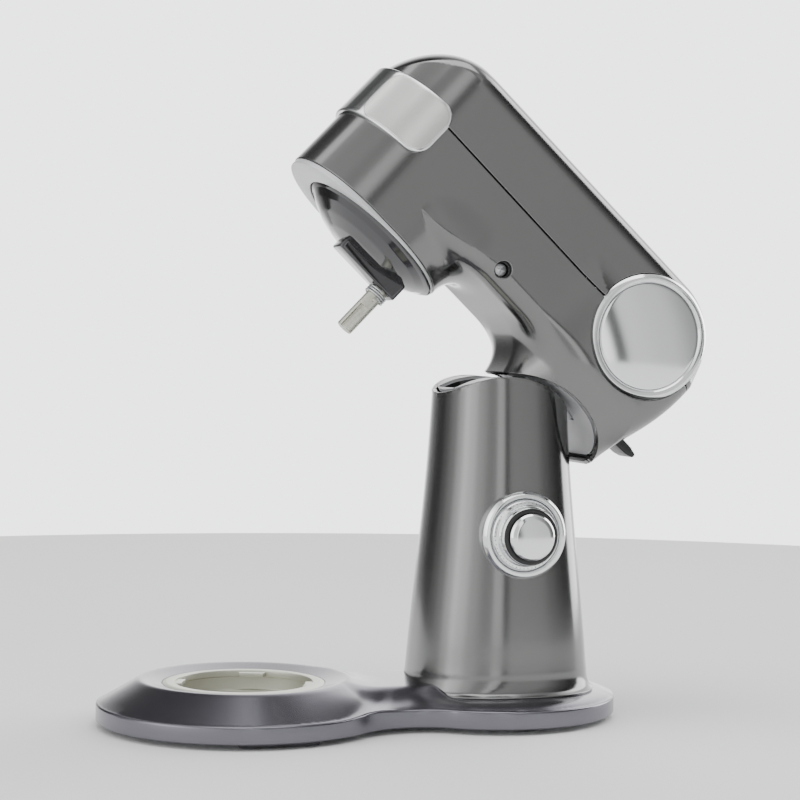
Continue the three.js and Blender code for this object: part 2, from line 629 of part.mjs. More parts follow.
function beaterShaft() {
  const centre = [0, AXIS_Y + BEATER_OFFSET];
  return cut(
    rod(SHAFT_R, -3.4, 69, centre, Z_UP, 24),
    rod(1.7, -20, 20, [centre[1], 24], ALONG_X, 12),
    block([-1.4, 1.4], [centre[1] - 8, centre[1] - 3.8], [-10, 17]));
}
place(head, 'beater_shaft', beaterShaft(), 'nickel');
place(head, 'cross_pin', rod(1.4, -10.5, 10.5, [AXIS_Y + BEATER_OFFSET, 24], ALONG_X, 12), 'nickel');
place(head, 'shaft_spring', ring(8.2, SHAFT_R + 0.4, 25.8, 32.6, [0, AXIS_Y + BEATER_OFFSET], Z_UP, 24), 'steel');

// Gearbox

function gearboxPlate(low, high, front, mainBore, layBore) {
  const shape = roundedRect(-37, 37, front, LAY_Y + 24, 16);
  return cut(
    prism(shape, low, high, Z_UP, 5),
    rod(mainBore, low - 1, high + 1, [0, AXIS_Y], Z_UP, 20),
    rod(layBore, low - 1, high + 1, [0, LAY_Y], Z_UP, 24));
}
place(head, 'gearbox_floor', gearboxPlate(84, 87.6, AXIS_Y - 40, 12.3, 4.2), 'steel');
place(head, 'gearbox_lid', gearboxPlate(124, 128, AXIS_Y - 16, 12.3, 4.2), 'steel');
place(head, 'main_bearing_lower', ring(12, 7.1, 80.4, 87.6, [0, AXIS_Y], Z_UP, 20), 'bronze');
place(head, 'main_bearing_upper', ring(12, 7.1, 123, 129, [0, AXIS_Y], Z_UP, 20), 'bronze');
place(head, 'lay_shaft', rod(4, 84.4, 172, [0, LAY_Y], Z_UP, 20), 'steel');
place(head, 'lay_pinion', gear(
  PINION_TEETH, SPUR_MODULE, [0, LAY_Y], 88.4, 97.4, 4 + GAP, -Math.PI / 2 + halfTooth(PINION_TEETH)), 'steel');

const BELT_LOW = 160;
const BELT_HIGH = 168;
const LAY_PULLEY_R = 34;
const MOTOR_PULLEY_R = 7;
function pulley(radius, centre, bore) {
  return cut(
    join(rod(radius, BELT_LOW - 1, BELT_HIGH + 1, centre, Z_UP, 28),
      rod(radius + 1.4, BELT_LOW - 3, BELT_LOW - 1, centre, Z_UP, 28)),
    rod(bore, 100, 200, centre, Z_UP, 20));
}
place(head, 'lay_pulley', pulley(LAY_PULLEY_R, [0, LAY_Y], 4 + GAP), 'black_plastic');
place(head, 'motor_pulley', pulley(MOTOR_PULLEY_R, [0, MOTOR_Y], 3.5 + GAP), 'steel');

// Flat belt round both pulleys, as the space between an outer and an inner loop.
function driveBelt() {
  const loop = (extra) => {
    const [big, small] = [LAY_PULLEY_R + extra, MOTOR_PULLEY_R + extra];
    const tangent = Math.asin((LAY_PULLEY_R - MOTOR_PULLEY_R) / (MOTOR_Y - LAY_Y));
    const shape = new THREE.Shape();
    shape.absarc(0, LAY_Y, big, Math.PI - tangent, 2 * Math.PI + tangent, false);
    shape.absarc(0, MOTOR_Y, small, tangent, Math.PI - tangent, false);
    shape.closePath();
    return shape;
  };
  return cut(
    prism(loop(GAP + 1.8), BELT_LOW, BELT_HIGH, Z_UP, 8),
    prism(loop(GAP), BELT_LOW - 1, BELT_HIGH + 1, Z_UP, 8));
}
place(head, 'drive_belt', driveBelt(), 'rubber');

// Motor

place(head, 'motor_case', turned([
  [4, 86], [32, 86], [34, 88], [34, 142], [29.5, 142], [29.5, 91], [4, 91], [4, 86]],
[0, MOTOR_Y], Z_UP, 28), 'steel');
place(head, 'motor_end_cap', turned([
  [4, 142.3], [34, 142.3], [34, 145], [10, 147.5], [4, 147.5], [4, 142.3]],
[0, MOTOR_Y], Z_UP, 28), 'black_plastic');
place(head, 'armature', join(
  rod(3.5, 84, 172, [0, MOTOR_Y], Z_UP, 20),
  rod(25, 98, 132, [0, MOTOR_Y], Z_UP, 32),
  rod(10, 132, 139, [0, MOTOR_Y], Z_UP, 24)), 'copper_steel');
function coolingFan() {
  const hub = ring(29, 3.5 + GAP, 149, 150.6, [0, MOTOR_Y], Z_UP, 32);
  const blades = Array.from({ length: 9 }, (_, i) => {
    const geometry = new THREE.BoxGeometry(18, 1.6, 5);
    geometry.translate(19, 0, 152.6);
    geometry.rotateZ((i / 9) * 2 * Math.PI);
    geometry.translate(0, MOTOR_Y, 0);
    return solid(geometry);
  });
  return join(hub, ...blades);
}
place(head, 'cooling_fan', coolingFan(), 'black_plastic');

// Slow-speed outlet behind the hub cover

place(head, 'hub_socket', ring(16.4, 12, -246, -222, [HUB_Z, 0], ALONG_Y, 32), 'steel');
function hubShaft() {
  const square = new THREE.Shape();
  square.moveTo(HUB_Z - 4.5, -4.5).lineTo(HUB_Z + 4.5, -4.5).lineTo(HUB_Z + 4.5, 4.5)
    .lineTo(HUB_Z - 4.5, 4.5).closePath();
  return join(
    prism(square, -242, -220, ALONG_Y),
    turned([[0, -222], [6, -222], [6, -199.7], [12, -199.7], [7, -192.5], [0, -192.5]],
      [HUB_Z, 0], ALONG_Y, 32));
}
place(head, 'hub_shaft', hubShaft(), 'steel');
place(head, 'main_bevel', cut(
  turned([[0, 99], [18.6, 99], [18.6, 101], [9.5, 108], [0, 108]], [0, AXIS_Y], Z_UP, 32),
  rod(7 + GAP, 90, 120, [0, AXIS_Y], Z_UP, 24)), 'nylon');

export default mixer;
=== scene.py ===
"""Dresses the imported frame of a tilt-head stand mixer with finished meshes and materials.

Every length is in metres in the frame's own axes: the floor at z = 0, the nose towards -Y and the speed
knob towards +X. Head pieces are worked out in the head's own axes, (x, u, w), measured from the tilt hinge
with the head level, where u runs to the tail and w runs up.
"""

import json
import math

import bpy
import numpy as np
from mathutils import Matrix, Vector


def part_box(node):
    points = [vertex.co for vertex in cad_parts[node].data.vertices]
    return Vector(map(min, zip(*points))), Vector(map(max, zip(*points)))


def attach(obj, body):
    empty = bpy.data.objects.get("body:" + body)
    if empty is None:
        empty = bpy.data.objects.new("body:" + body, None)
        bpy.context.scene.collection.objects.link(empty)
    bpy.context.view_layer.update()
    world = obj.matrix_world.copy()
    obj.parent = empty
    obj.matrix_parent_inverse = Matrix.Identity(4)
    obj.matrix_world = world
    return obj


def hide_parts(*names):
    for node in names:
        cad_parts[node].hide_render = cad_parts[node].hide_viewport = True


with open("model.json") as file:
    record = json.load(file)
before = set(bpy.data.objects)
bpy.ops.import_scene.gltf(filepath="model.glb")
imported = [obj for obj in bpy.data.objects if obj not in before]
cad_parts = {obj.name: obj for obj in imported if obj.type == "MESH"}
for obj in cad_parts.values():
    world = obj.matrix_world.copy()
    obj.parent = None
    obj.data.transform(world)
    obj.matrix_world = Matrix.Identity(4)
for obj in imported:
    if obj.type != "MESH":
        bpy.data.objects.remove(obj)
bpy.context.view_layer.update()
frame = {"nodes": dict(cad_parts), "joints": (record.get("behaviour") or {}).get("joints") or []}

bl_info = {
    "name": "Stand Mixer Dressing",
    "version": (1, 0, 0),
    "blender": (4, 5, 0),
    "location": "View3D > Sidebar > Mixer",
    "description": "Builds the visible pieces, finishes and studio of a tilt-head stand mixer",
    "category": "Object",
}

MM = 0.001

# Places taken from the frame

JOINTS = {joint["name"]: joint for joint in frame["joints"]}
HINGE = np.array(JOINTS["head_tilt"]["pos_m"])
TILT = math.radians(JOINTS["head_tilt"]["range_deg"][1])
COLUMN_Y = JOINTS["speed_turn"]["pos_m"][1]
KNOB_Z = JOINTS["speed_turn"]["pos_m"][2]

UPRIGHT = np.eye(4)
HEAD = np.array(Matrix.Translation(HINGE) @ Matrix.Rotation(-TILT, 4, "X"))


def shifted(x=0.0, y=0.0, z=0.0):
    """Level axes that start at a point."""
    return np.array(Matrix.Translation((x, y, z)))


def turned(degrees):
    """Level axes turned round Z."""
    return np.array(Matrix.Rotation(math.radians(degrees), 4, "Z"))


def sideways(y, z, side=1):
    """Axes at a point of the middle plane whose Z points along X, or against it for side -1."""
    return np.array([[0, 0, side, 0], [side, 0, 0, y], [0, 1, 0, z], [0, 0, 0, 1]], float)


def place(points, axes):
    """Points drawn in some axes, moved into the frame's axes."""
    return points @ axes[:3, :3].T + axes[:3, 3]


def in_head(points):
    """Points of the frame, in the head's own axes."""
    return (points - HEAD[:3, 3]) @ HEAD[:3, :3]


def head_box(node):
    """Lowest and highest corner of a CAD node in the head's own axes."""
    points = in_head(np.array([v.co for v in frame["nodes"][node].data.vertices]))
    return points.min(0), points.max(0)


def corners(node):
    """Lowest and highest corner of a CAD node in the frame's axes."""
    low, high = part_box(node)
    return np.array(low), np.array(high)


UPPER_LOW, UPPER_HIGH = head_box("head_top_cover")
RING_LOW, RING_HIGH = head_box("side_ring_right")
DISC_LOW, DISC_HIGH = head_box("side_disc_right")
BELL_LOW, BELL_HIGH = head_box("planet_carrier")
COVER_LOW, COVER_HIGH = head_box("hub_cover")
CLAMP_LOW, CLAMP_HIGH = corners("bowl_clamp")
BASE_LOW, BASE_HIGH = corners("base_casting")
COLUMN_LOW, COLUMN_HIGH = corners("column_casting")

DISC_Y = (CLAMP_LOW[1] + CLAMP_HIGH[1]) / 2
CLAMP_R = CLAMP_HIGH[0]
DISC_R = DISC_Y - BASE_LOW[1]
BELL_U = in_head(np.array(JOINTS["carrier_spin"]["pos_m"]))[1]
BELL_R = BELL_HIGH[0]
SHAFT_U = in_head(np.array(JOINTS["beater_spin"]["pos_m"]))[1]
NOSE_HALF = head_box("head_lower_casting")[1][0]
NOSE_U = UPPER_LOW[1] + NOSE_HALF
SPLIT_W = UPPER_LOW[2]
TAIL_U = (RING_LOW[1] + RING_HIGH[1]) / 2
TAIL_W = (RING_LOW[2] + RING_HIGH[2]) / 2
TAIL_R = UPPER_HIGH[1] - TAIL_U
MEDALLION_R = (RING_HIGH[1] - RING_LOW[1]) / 2
SCREW_U, SCREW_W = (sum(pair) / 2 for pair in list(zip(*head_box("beam_screw_right")))[1:])
SADDLE_R = corners("column_cap")[1][2] - HINGE[2]


# Sizes and colours that a user may change


def length(name, description, value, low, high):
    """A length property with its default and limits, all in millimetres."""
    return bpy.props.FloatProperty(
        name=name, description=description, default=value * MM, min=low * MM, max=high * MM, unit="LENGTH")


def angle(name, description, degrees):
    """An angle property with its default in degrees."""
    return bpy.props.FloatProperty(
        name=name, description=description, default=math.radians(degrees), subtype="ANGLE")


def colour(name, description, value):
    """A colour property with its default."""
    return bpy.props.FloatVectorProperty(
        name=name, description=description, subtype="COLOR", size=3, min=0, max=1, default=value)


class MixerSizes(bpy.types.PropertyGroup):
    """Sizes of details that the frame leaves open"""

    head_step: length("Head Mesh Step", "Spacing of the points on the head castings", 1.7, 0.8, 6)
    base_step: length("Base Mesh Step", "Spacing of the points on the base casting", 1.5, 0.8, 6)
    wall: length("Casting Wall", "Wall thickness of the castings", 3, 1, 6)
    rim_round: length("Rim Round", "Radius along the cut edges of castings and plates", 0.7, 0.1, 2)
    seam: length("Seam", "Gap between the two head castings", 0.8, 0.2, 3)
    side_round: length("Side Round", "Radius along the long edges of the head", 16, 4, 30)
    nose_round: length("Nose Round", "Radius over the top of the nose, seen from the side", 46, 10, 60)
    neck_blend: length("Neck Blend", "Reach of the fillet between the beam and the neck", 34, 4, 80)
    skirt_blend: length("Skirt Blend", "Reach of the fillet between the beam and the bell's skirt", 26, 2, 40)
    knurls: bpy.props.IntProperty(
        name="Knurls", description="Ridges round the grip of the speed knob", default=72, min=8, max=120)
    ticks: bpy.props.IntProperty(
        name="Ticks", description="Marks of the speed scale", default=50, min=3, max=90)
    spring_turns: bpy.props.FloatProperty(
        name="Spring Turns", description="Turns of the spring on the beater shaft", default=3.0, min=1, max=8)


class MixerColours(bpy.types.PropertyGroup):
    """Colours of the finishes"""

    enamel: colour("Head Enamel", "Metallic enamel on the column and head", (0.185, 0.186, 0.184))
    base_enamel: colour("Base Enamel", "Metallic enamel on the base", (0.175, 0.17, 0.195))
    bell_enamel: colour("Bell Enamel", "Dark enamel on the planetary bell", (0.07, 0.07, 0.073))
    pale: colour("Pale Plates", "Moulded plates round the bell and the hinge", (0.60, 0.605, 0.62))
    chrome: colour("Chrome", "Mirror plating", (0.86, 0.87, 0.88))
    satin: colour("Satin Plating", "Plating of the nose cover", (0.72, 0.72, 0.705))
    nickel: colour("Nickel", "Plating of the bowl clamp and the beater shaft", (0.12, 0.115, 0.092))
    steel: colour("Steel", "Machined steel", (0.50, 0.51, 0.52))
    bronze: colour("Bronze", "Sintered bronze bushes", (0.50, 0.29, 0.12))
    copper: colour("Windings", "Copper and steel of the armature", (0.42, 0.20, 0.10))
    nylon: colour("Nylon", "Natural nylon gears", (0.72, 0.69, 0.60))
    board: colour("Board", "Laminate of the control board", (0.03, 0.14, 0.07))
    rubber: colour("Rubber", "Feet, belt and cord inlet", (0.012, 0.012, 0.013))
    black: colour("Black Moulding", "Knob, lever and fan", (0.010, 0.010, 0.011))


class MixerStudio(bpy.types.PropertyGroup):
    """Camera and light"""

    azimuth: angle("Azimuth", "Direction of the camera round the column, from the nose", 70.32)
    distance: bpy.props.FloatProperty(
        name="Distance", description="From the column's axis to the camera", default=1.48138, unit="LENGTH")
    height: bpy.props.FloatProperty(
        name="Height", description="Camera height over the floor", default=0.26156, unit="LENGTH")
    yaw: angle("Yaw", "Turn of the camera away from the column's axis", 2.69)
    pitch: angle("Pitch", "Upward turn of the camera", -1.58)
    roll: angle("Roll", "Roll of the camera", -0.69)
    lens: bpy.props.FloatProperty(
        name="Lens", description="Focal length in millimetres for a 36 mm sensor", default=94.34)
    wall_light: bpy.props.FloatProperty(
        name="Wall Light", description="Strength of the light from the studio's walls", default=1.0, min=0)
    key_light: bpy.props.FloatProperty(
        name="Key Light", description="Power of the overhead soft box in watts", default=28.0, min=0)


# Meshes: each maker returns points and faces of one closed solid


def volume(points, faces):
    """Signed volume of a closed mesh, positive where its faces point outwards."""
    total = 0.0
    for face in faces:
        for i in range(1, len(face) - 1):
            a, b, c = points[face[0]], points[face[i]], points[face[i + 1]]
            total += a @ np.cross(b, c)
    return total


def outwards(points, faces):
    """The same solid with its faces pointing outwards."""
    if volume(points, faces) < 0:
        faces = [tuple(face[::-1]) for face in faces]
    return points, faces


def merged(*solids):
    """Several closed solids as one mesh."""
    points, faces, start = [], [], 0
    for solid_points, solid_faces in solids:
        points.append(solid_points)
        faces += [tuple(int(i) + start for i in face) for face in solid_faces]
        start += len(solid_points)
    return np.concatenate(points), faces


def moved(solid, axes):
    """A solid moved into other axes."""
    points, faces = solid
    return place(points, axes), faces


def split(quads):
    """Two triangles for each quad."""
    return np.concatenate([quads[:, [0, 1, 2]], quads[:, [0, 2, 3]]])


def border_of(triangles, count):
    """The sides that belong to one triangle alone, each in that triangle's direction."""
    sides = np.concatenate([triangles[:, [0, 1]], triangles[:, [1, 2]], triangles[:, [2, 0]]])
    key = sides[:, 0].astype(np.int64) * count + sides[:, 1]
    return sides[~np.isin(key, sides[:, 1].astype(np.int64) * count + sides[:, 0])]


def walls(rows, a, b):
    """Quads that join each row of points to the next one, along links from place a to place b of a row."""
    faces = []
    for upper, lower in zip(rows, rows[1:]):
        faces += [tuple(face) for face in np.stack([upper[b], upper[a], lower[a], lower[b]], 1)]
    return faces


def quarter(steps):
    """A quarter of a rounded edge, without its start: how far out and how far down each step is, up to 1."""
    return [(math.sin(a), 1 - math.cos(a)) for a in np.linspace(0, math.pi / 2, steps)[1:]]


def arc(centre, radius, start, end, steps):
    """Points along an arc in a plane, with angles in degrees."""
    angles = np.radians(np.linspace(start, end, steps))
    return [(centre[0] + radius * math.cos(a), centre[1] + radius * math.sin(a)) for a in angles]


def eased(outline, radius, closed=False, steps=5):
    """A polyline with its corners rounded; a point's third value overrides the radius."""
    points = [np.array(point[:2], float) for point in outline]
    count = len(points)
    result = []
    for i, point in enumerate(points):
        r = outline[i][2] if len(outline[i]) > 2 else radius
        if (not closed and i in (0, count - 1)) or r <= 0:
            result.append(point)
            continue
        before, after = points[i - 1] - point, points[(i + 1) % count] - point
        reach = [np.linalg.norm(before), np.linalg.norm(after)]
        before, after = before / reach[0], after / reach[1]
        half = math.acos(float(np.clip(before @ after, -1, 1))) / 2
        if half > 1.5:
            result.append(point)
            continue
        back = min(r / math.tan(half), 0.48 * min(reach))
        r = back * math.tan(half)
        centre = point + (before + after) / np.linalg.norm(before + after) * r / math.sin(half)
        first, last = point + before * back - centre, point + after * back - centre
        turn = math.atan2(first[0] * last[1] - first[1] * last[0], first @ last)
        for share in np.linspace(0, 1, steps):
            c, s = math.cos(turn * share), math.sin(turn * share)
            result.append(centre + np.array([c * first[0] - s * first[1], s * first[0] + c * first[1]]))
    return result


def spun(profile, sides=96, ring=False, ripple=None):
    """A profile of (radius, height) turned round Z. ring closes it on itself, and
    ripple = (count, depth, low, high) raises ridges between two heights."""
    angles = np.arange(sides) * 2 * math.pi / sides
    points, rows = [], []
    for radius, height in profile:
        if radius < 1e-6:
            rows.append([len(points)] * sides)
            points.append((0.0, 0.0, height))
            continue
        reach = np.full(sides, radius)
        if ripple and ripple[2] <= height <= ripple[3]:
            reach = reach + ripple[1] * np.cos(ripple[0] * angles)
        rows.append(list(range(len(points), len(points) + sides)))
        points += [(r * math.cos(a), r * math.sin(a), height) for r, a in zip(reach, angles)]
    faces = []
    pairs = list(zip(rows, rows[1:])) + ([(rows[-1], rows[0])] if ring else [])
    for lower, upper in pairs:
        for i in range(sides):
            j = (i + 1) % sides
            corner = list(dict.fromkeys([lower[i], lower[j], upper[j], upper[i]]))
            if len(corner) > 2:
                faces.append(tuple(corner))
    return outwards(np.array(points), faces)


def slab(outline, low, high, edge, steps=4):
    """An outline pushed from low to high along Z with both edges rounded."""
    loop = np.array([point[:2] for point in outline], float)
    if sum(a[0] * b[1] - a[1] * b[0] for a, b in zip(loop, np.roll(loop, -1, 0))) < 0:
        loop = loop[::-1]
    along = np.roll(loop, -1, 0) - np.roll(loop, 1, 0)
    out = np.stack([along[:, 1], -along[:, 0]], 1)
    out /= np.linalg.norm(out, axis=1)[:, None]
    rows = []
    for share in np.linspace(0, 1, steps):
        angle = share * math.pi / 2
        rows.append((edge * (math.sin(angle) - 1), low + edge * (1 - math.cos(angle))))
    rows += [(inset, low + high - height) for inset, height in rows[::-1]]
    count = len(loop)
    points = np.concatenate([
        np.column_stack([loop + out * inset, np.full(count, height)]) for inset, height in rows])
    faces = [tuple(range(count))[::-1], tuple(range(len(points) - count, len(points)))]
    for row in range(len(rows) - 1):
        for i in range(count):
            j = (i + 1) % count
            a, b = row * count, (row + 1) * count
            faces.append((a + i, a + j, b + j, b + i))
    return outwards(points, faces)


def rounded_box(x0, x1, y0, y1, radius, steps=8):
    """Outline of a rectangle with round corners."""
    return (arc((x1 - radius, y0 + radius), radius, -90, 0, steps)
            + arc((x1 - radius, y1 - radius), radius, 0, 90, steps)
            + arc((x0 + radius, y1 - radius), radius, 90, 180, steps)
            + arc((x0 + radius, y0 + radius), radius, 180, 270, steps))


def tube(path, radius, sides=10):
    """A round bar along a path with flat ends."""
    path = np.array(path, float)
    along = np.gradient(path, axis=0)
    along /= np.linalg.norm(along, axis=1)[:, None]
    side = np.cross(along, np.array([0.0, 0.0, 1.0]))
    side[np.linalg.norm(side, axis=1) < 1e-6] = (1, 0, 0)
    side /= np.linalg.norm(side, axis=1)[:, None]
    up = np.cross(side, along)
    angles = np.arange(sides) * 2 * math.pi / sides
    rings = path[:, None] + radius * (
        np.cos(angles)[None, :, None] * side[:, None] + np.sin(angles)[None, :, None] * up[:, None])
    points = rings.reshape(-1, 3)
    faces = [tuple(range(sides)), tuple(range(len(points) - sides, len(points)))[::-1]]
    for row in range(len(path) - 1):
        for i in range(sides):
            j = (i + 1) % sides
            a, b = row * sides, (row + 1) * sides
            faces.append((a + j, a + i, b + i, b + j))
    return outwards(points, faces)


# Surfaces of a field: a function of points that is negative inside the solid


def smooth_max(a, b, reach):
    """The larger of two fields, blended where they are within reach of each other."""
    near = np.maximum(reach - np.abs(a - b), 0) / reach
    return np.maximum(a, b) + near * near * reach / 4


def smooth_min(a, b, reach):
    """The smaller of two fields, blended where they are within reach of each other."""
    return -smooth_max(-a, -b, reach)


def smooth_step(value):
    """0 below 0, 1 above 1, and an even S in between."""
    value = np.clip(value, 0, 1)
    return value ** 2 * (3 - 2 * value)


def slope_of(field, points):
    """Gradient of a field at some points."""
    reach = 0.2 * MM
    return np.stack([
        (field(points + reach * axis) - field(points - reach * axis)) / (2 * reach) for axis in np.eye(3)], 1)


def settle(points, field, rounds=4):
    """Points moved onto the surface where the field is zero."""
    for _ in range(rounds):
        slope = slope_of(field, points)
        points = points - slope * (field(points) / np.maximum((slope ** 2).sum(1), 1e-9))[:, None]
    return points


def surface_of(field, low, high, step):
    """Quads on the surface where a field is zero, one point for each grid cell that the surface crosses."""
    counts = [int(math.ceil((b - a) / step)) + 1 for a, b in zip(low, high)]
    grid = np.stack(np.meshgrid(*[a + step * np.arange(n) for a, n in zip(low, counts)], indexing="ij"), -1)
    value = field(grid.reshape(-1, 3)).reshape(counts)
    inside = value < 0
    cells = tuple(n - 1 for n in counts)
    total, hits = np.zeros(cells + (3,)), np.zeros(cells)
    crossings = []
    for axis in range(3):
        others = [a for a in range(3) if a != axis]
        first, second = [slice(None)] * 3, [slice(None)] * 3
        first[axis], second[axis] = slice(0, -1), slice(1, None)
        v0, v1 = value[tuple(first)], value[tuple(second)]
        crossed = inside[tuple(first)] != inside[tuple(second)]
        share = np.where(crossed, v0 / np.where(crossed, v0 - v1, 1), 0)
        point = np.stack(np.meshgrid(*[np.arange(n, dtype=float) for n in v0.shape], indexing="ij"), -1)
        point[..., axis] += share
        for shift in ((0, 0), (0, 1), (1, 0), (1, 1)):
            window = [slice(None)] * 3
            for other, offset in zip(others, shift):
                window[other] = slice(offset, offset + cells[other])
            mask = crossed[tuple(window)]
            total += np.where(mask[..., None], point[tuple(window)], 0)
            hits += mask
        crossings.append((axis, others, np.argwhere(crossed), inside[tuple(first)]))
    used = hits > 0
    number = np.full(cells, -1)
    number[used] = np.arange(used.sum())
    points = np.array(low) + step * total[used] / hits[used][:, None]
    quads = []
    for axis, others, where, starts_inside in crossings:
        keep = np.all([(where[:, o] > 0) & (where[:, o] < cells[o]) for o in others], axis=0)
        where = where[keep]
        corner = []
        for shift in ((1, 1), (0, 1), (0, 0), (1, 0)):
            cell = where.copy()
            for other, offset in zip(others, shift):
                cell[:, other] -= offset
            corner.append(number[tuple(cell.T)])
        quad = np.stack(corner, 1)
        flip = starts_inside[tuple(where.T)] == (axis == 1)
        quad[flip] = quad[flip][:, ::-1]
        quads.append(quad)
    return settle(points, field), split(np.concatenate(quads))


def trimmed(points, triangles, field, step):
    """The part of a triangle mesh where a field is negative, cut cleanly along the line where it is zero."""
    value = field(points)
    near = np.abs(value) < 0.3 * step
    if near.any():
        slope = slope_of(field, points[near])
        length = (slope ** 2).sum(1)
        pull = slope * (value[near] / np.maximum(length, 1e-9))[:, None]
        moving = (length > 0.1) & (np.linalg.norm(pull, axis=1) < 0.45 * step)
        moved_points = points.copy()
        chosen = np.flatnonzero(near)[moving]
        moved_points[chosen] -= pull[moving]
        points = moved_points
        value = value.copy()
        value[chosen] = 0
    side = np.sign(value).astype(int)
    sides = side[triangles]
    keep = (sides <= 0).all(1) & (sides < 0).any(1)
    cut = (sides > 0).any(1) & (sides < 0).any(1)
    extra, found = [], {}

    def crossing(a, b):
        key = (min(a, b), max(a, b))
        if key not in found:
            low, high = 0.0, 1.0
            start, end = (points[a], points[b]) if value[a] < 0 else (points[b], points[a])
            for _ in range(12):
                middle = (low + high) / 2
                if field((start + (end - start) * middle)[None])[0] < 0:
                    low = middle
                else:
                    high = middle
            found[key] = len(points) + len(extra)
            extra.append(start + (end - start) * low)
        return found[key]

    pieces = []
    for triangle in triangles[cut]:
        polygon = []
        for i in range(3):
            a, b = triangle[i], triangle[(i + 1) % 3]
            if side[a] <= 0:
                polygon.append(a)
            if side[a] * side[b] < 0:
                polygon.append(crossing(a, b))
        for i in range(1, len(polygon) - 1):
            pieces.append((polygon[0], polygon[i], polygon[i + 1]))
    points = np.concatenate([points, np.array(extra).reshape(-1, 3)])
    triangles = np.concatenate([triangles[keep], np.array(pieces, int).reshape(-1, 3)])
    used, packed = np.unique(triangles, return_inverse=True)
    return points[used], packed.reshape(-1, 3)


def thick(points, triangles, field, wall, edge, steps=4):
    """A closed wall from an open surface of a field: a copy moved in by wall, and a rim with a rounded
    outer edge that reaches edge beyond the surface's own border."""
    normal = slope_of(field, points)
    normal /= np.linalg.norm(normal, axis=1)[:, None]
    count = len(points)
    border = border_of(triangles, count)
    out = np.zeros((count, 3))
    along = points[border[:, 1]] - points[border[:, 0]]
    along /= np.maximum(np.linalg.norm(along, axis=1), 1e-12)[:, None]
    for column in (0, 1):
        np.add.at(out, border[:, column], np.cross(along, normal[border[:, column]]))
    rim = np.unique(border)
    out = out[rim] / np.maximum(np.linalg.norm(out[rim], axis=1), 1e-9)[:, None]
    row_of = np.full(count, -1)
    row_of[rim] = np.arange(len(rim))
    sheets = [points, points - normal * wall]
    rows = [rim]
    start = 2 * count
    for reach, drop in [*quarter(steps), (1, wall / edge)]:
        sheets.append(points[rim] + (out * reach - normal[rim] * drop) * edge)
        rows.append(np.arange(start, start + len(rim)))
        start += len(rim)
    rows.append(rim + count)
    faces = [tuple(t) for t in triangles] + [(t[2] + count, t[1] + count, t[0] + count) for t in triangles]
    faces += walls(rows, row_of[border[:, 0]], row_of[border[:, 1]])
    return np.concatenate(sheets), faces


def sheet_grid(us, vs):
    """Triangles and parameters of a plain grid of two parameters."""
    u, v = np.meshgrid(us, vs, indexing="ij")
    index = np.arange(u.size).reshape(u.shape)
    a, b, c, d = index[:-1, :-1], index[1:, :-1], index[1:, 1:], index[:-1, 1:]
    quads = np.stack([a, b, c, d], -1).reshape(-1, 4)
    return u.ravel(), v.ravel(), split(quads)


# Blender objects


def new_object(name, points, faces, normals=None):
    """A Blender object with a smooth mesh, sharp where it turns hard; its first points may bring normals."""
    mesh = bpy.data.meshes.new(name)
    mesh.from_pydata([tuple(map(float, p)) for p in points], [], [tuple(map(int, f)) for f in faces])
    mesh.validate()
    mesh.shade_smooth()
    mesh.set_sharp_from_angle(angle=math.radians(38))
    if normals is not None:
        at_corner = np.zeros(len(mesh.loops) * 3, np.float32)
        mesh.corner_normals.foreach_get("vector", at_corner)
        at_corner = at_corner.reshape(-1, 3)
        vertex = np.zeros(len(mesh.loops), np.int32)
        mesh.loops.foreach_get("vertex_index", vertex)
        known = vertex < len(normals)
        at_corner[known] = normals[vertex[known]]
        mesh.normals_split_custom_set(at_corner.tolist())
    obj = bpy.data.objects.new(name, mesh)
    bpy.context.scene.collection.objects.link(obj)
    return obj


def carved(solid, tools, operation="DIFFERENCE"):
    """A solid with others cut from it or joined to it, as points and faces."""
    body = new_object("blank", *solid)
    helpers = [new_object("tool", *tool) for tool in tools]
    for helper in helpers:
        modifier = body.modifiers.new("cut", "BOOLEAN")
        modifier.operation = operation
        modifier.solver = "EXACT"
        modifier.object = helper
    shape = body.evaluated_get(bpy.context.evaluated_depsgraph_get()).to_mesh()
    points = np.array([v.co for v in shape.vertices], float)
    faces = [tuple(p.vertices) for p in shape.polygons]
    for item in [body, *helpers]:
        bpy.data.objects.remove(item)
    if not faces:
        raise RuntimeError("a boolean left nothing of its solid")
    return points, faces


def add_piece(name, solid, axes, finish, body, replaces=(), field=None, known=0):
    """Puts a solid into the scene, with its finish, riding on its body and standing for its CAD nodes.
    The first known points lie on a field's surface and take their normals from it."""
    points, faces = solid
    normals = None
    if field:
        normals = slope_of(field, points[:known])
        normals = normals / np.linalg.norm(normals, axis=1)[:, None] @ axes[:3, :3].T
    obj = new_object(name, place(points, axes), faces, normals)
    obj.data.materials.append(FINISHES[finish]())
    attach(obj, body)
    if replaces:
        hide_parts(*replaces)
    return obj


# Shaders


class Wire:
    """A node's output socket that works in sums."""

    def __init__(self, shader, socket):
        self.shader = shader
        self.socket = socket

    def maths(self, operation, *values):
        return self.shader.node("ShaderNodeMath", {"operation": operation}, dict(enumerate(values)))

    def __add__(self, other):
        return self.maths("ADD", self, other)

    def __radd__(self, other):
        return self.maths("ADD", other, self)

    def __sub__(self, other):
        return self.maths("SUBTRACT", self, other)

    def __rsub__(self, other):
        return self.maths("SUBTRACT", other, self)

    def __mul__(self, other):
        return self.maths("MULTIPLY", self, other)

    def __rmul__(self, other):
        return self.maths("MULTIPLY", other, self)

    def __truediv__(self, other):
        return self.maths("DIVIDE", self, other)

    def between(self, low, high):
        """0 below low, 1 above high, straight in between."""
        return self.shader.node(
            "ShaderNodeMapRange", {"clamp": True}, {"Value": self, "From Min": low, "From Max": high})


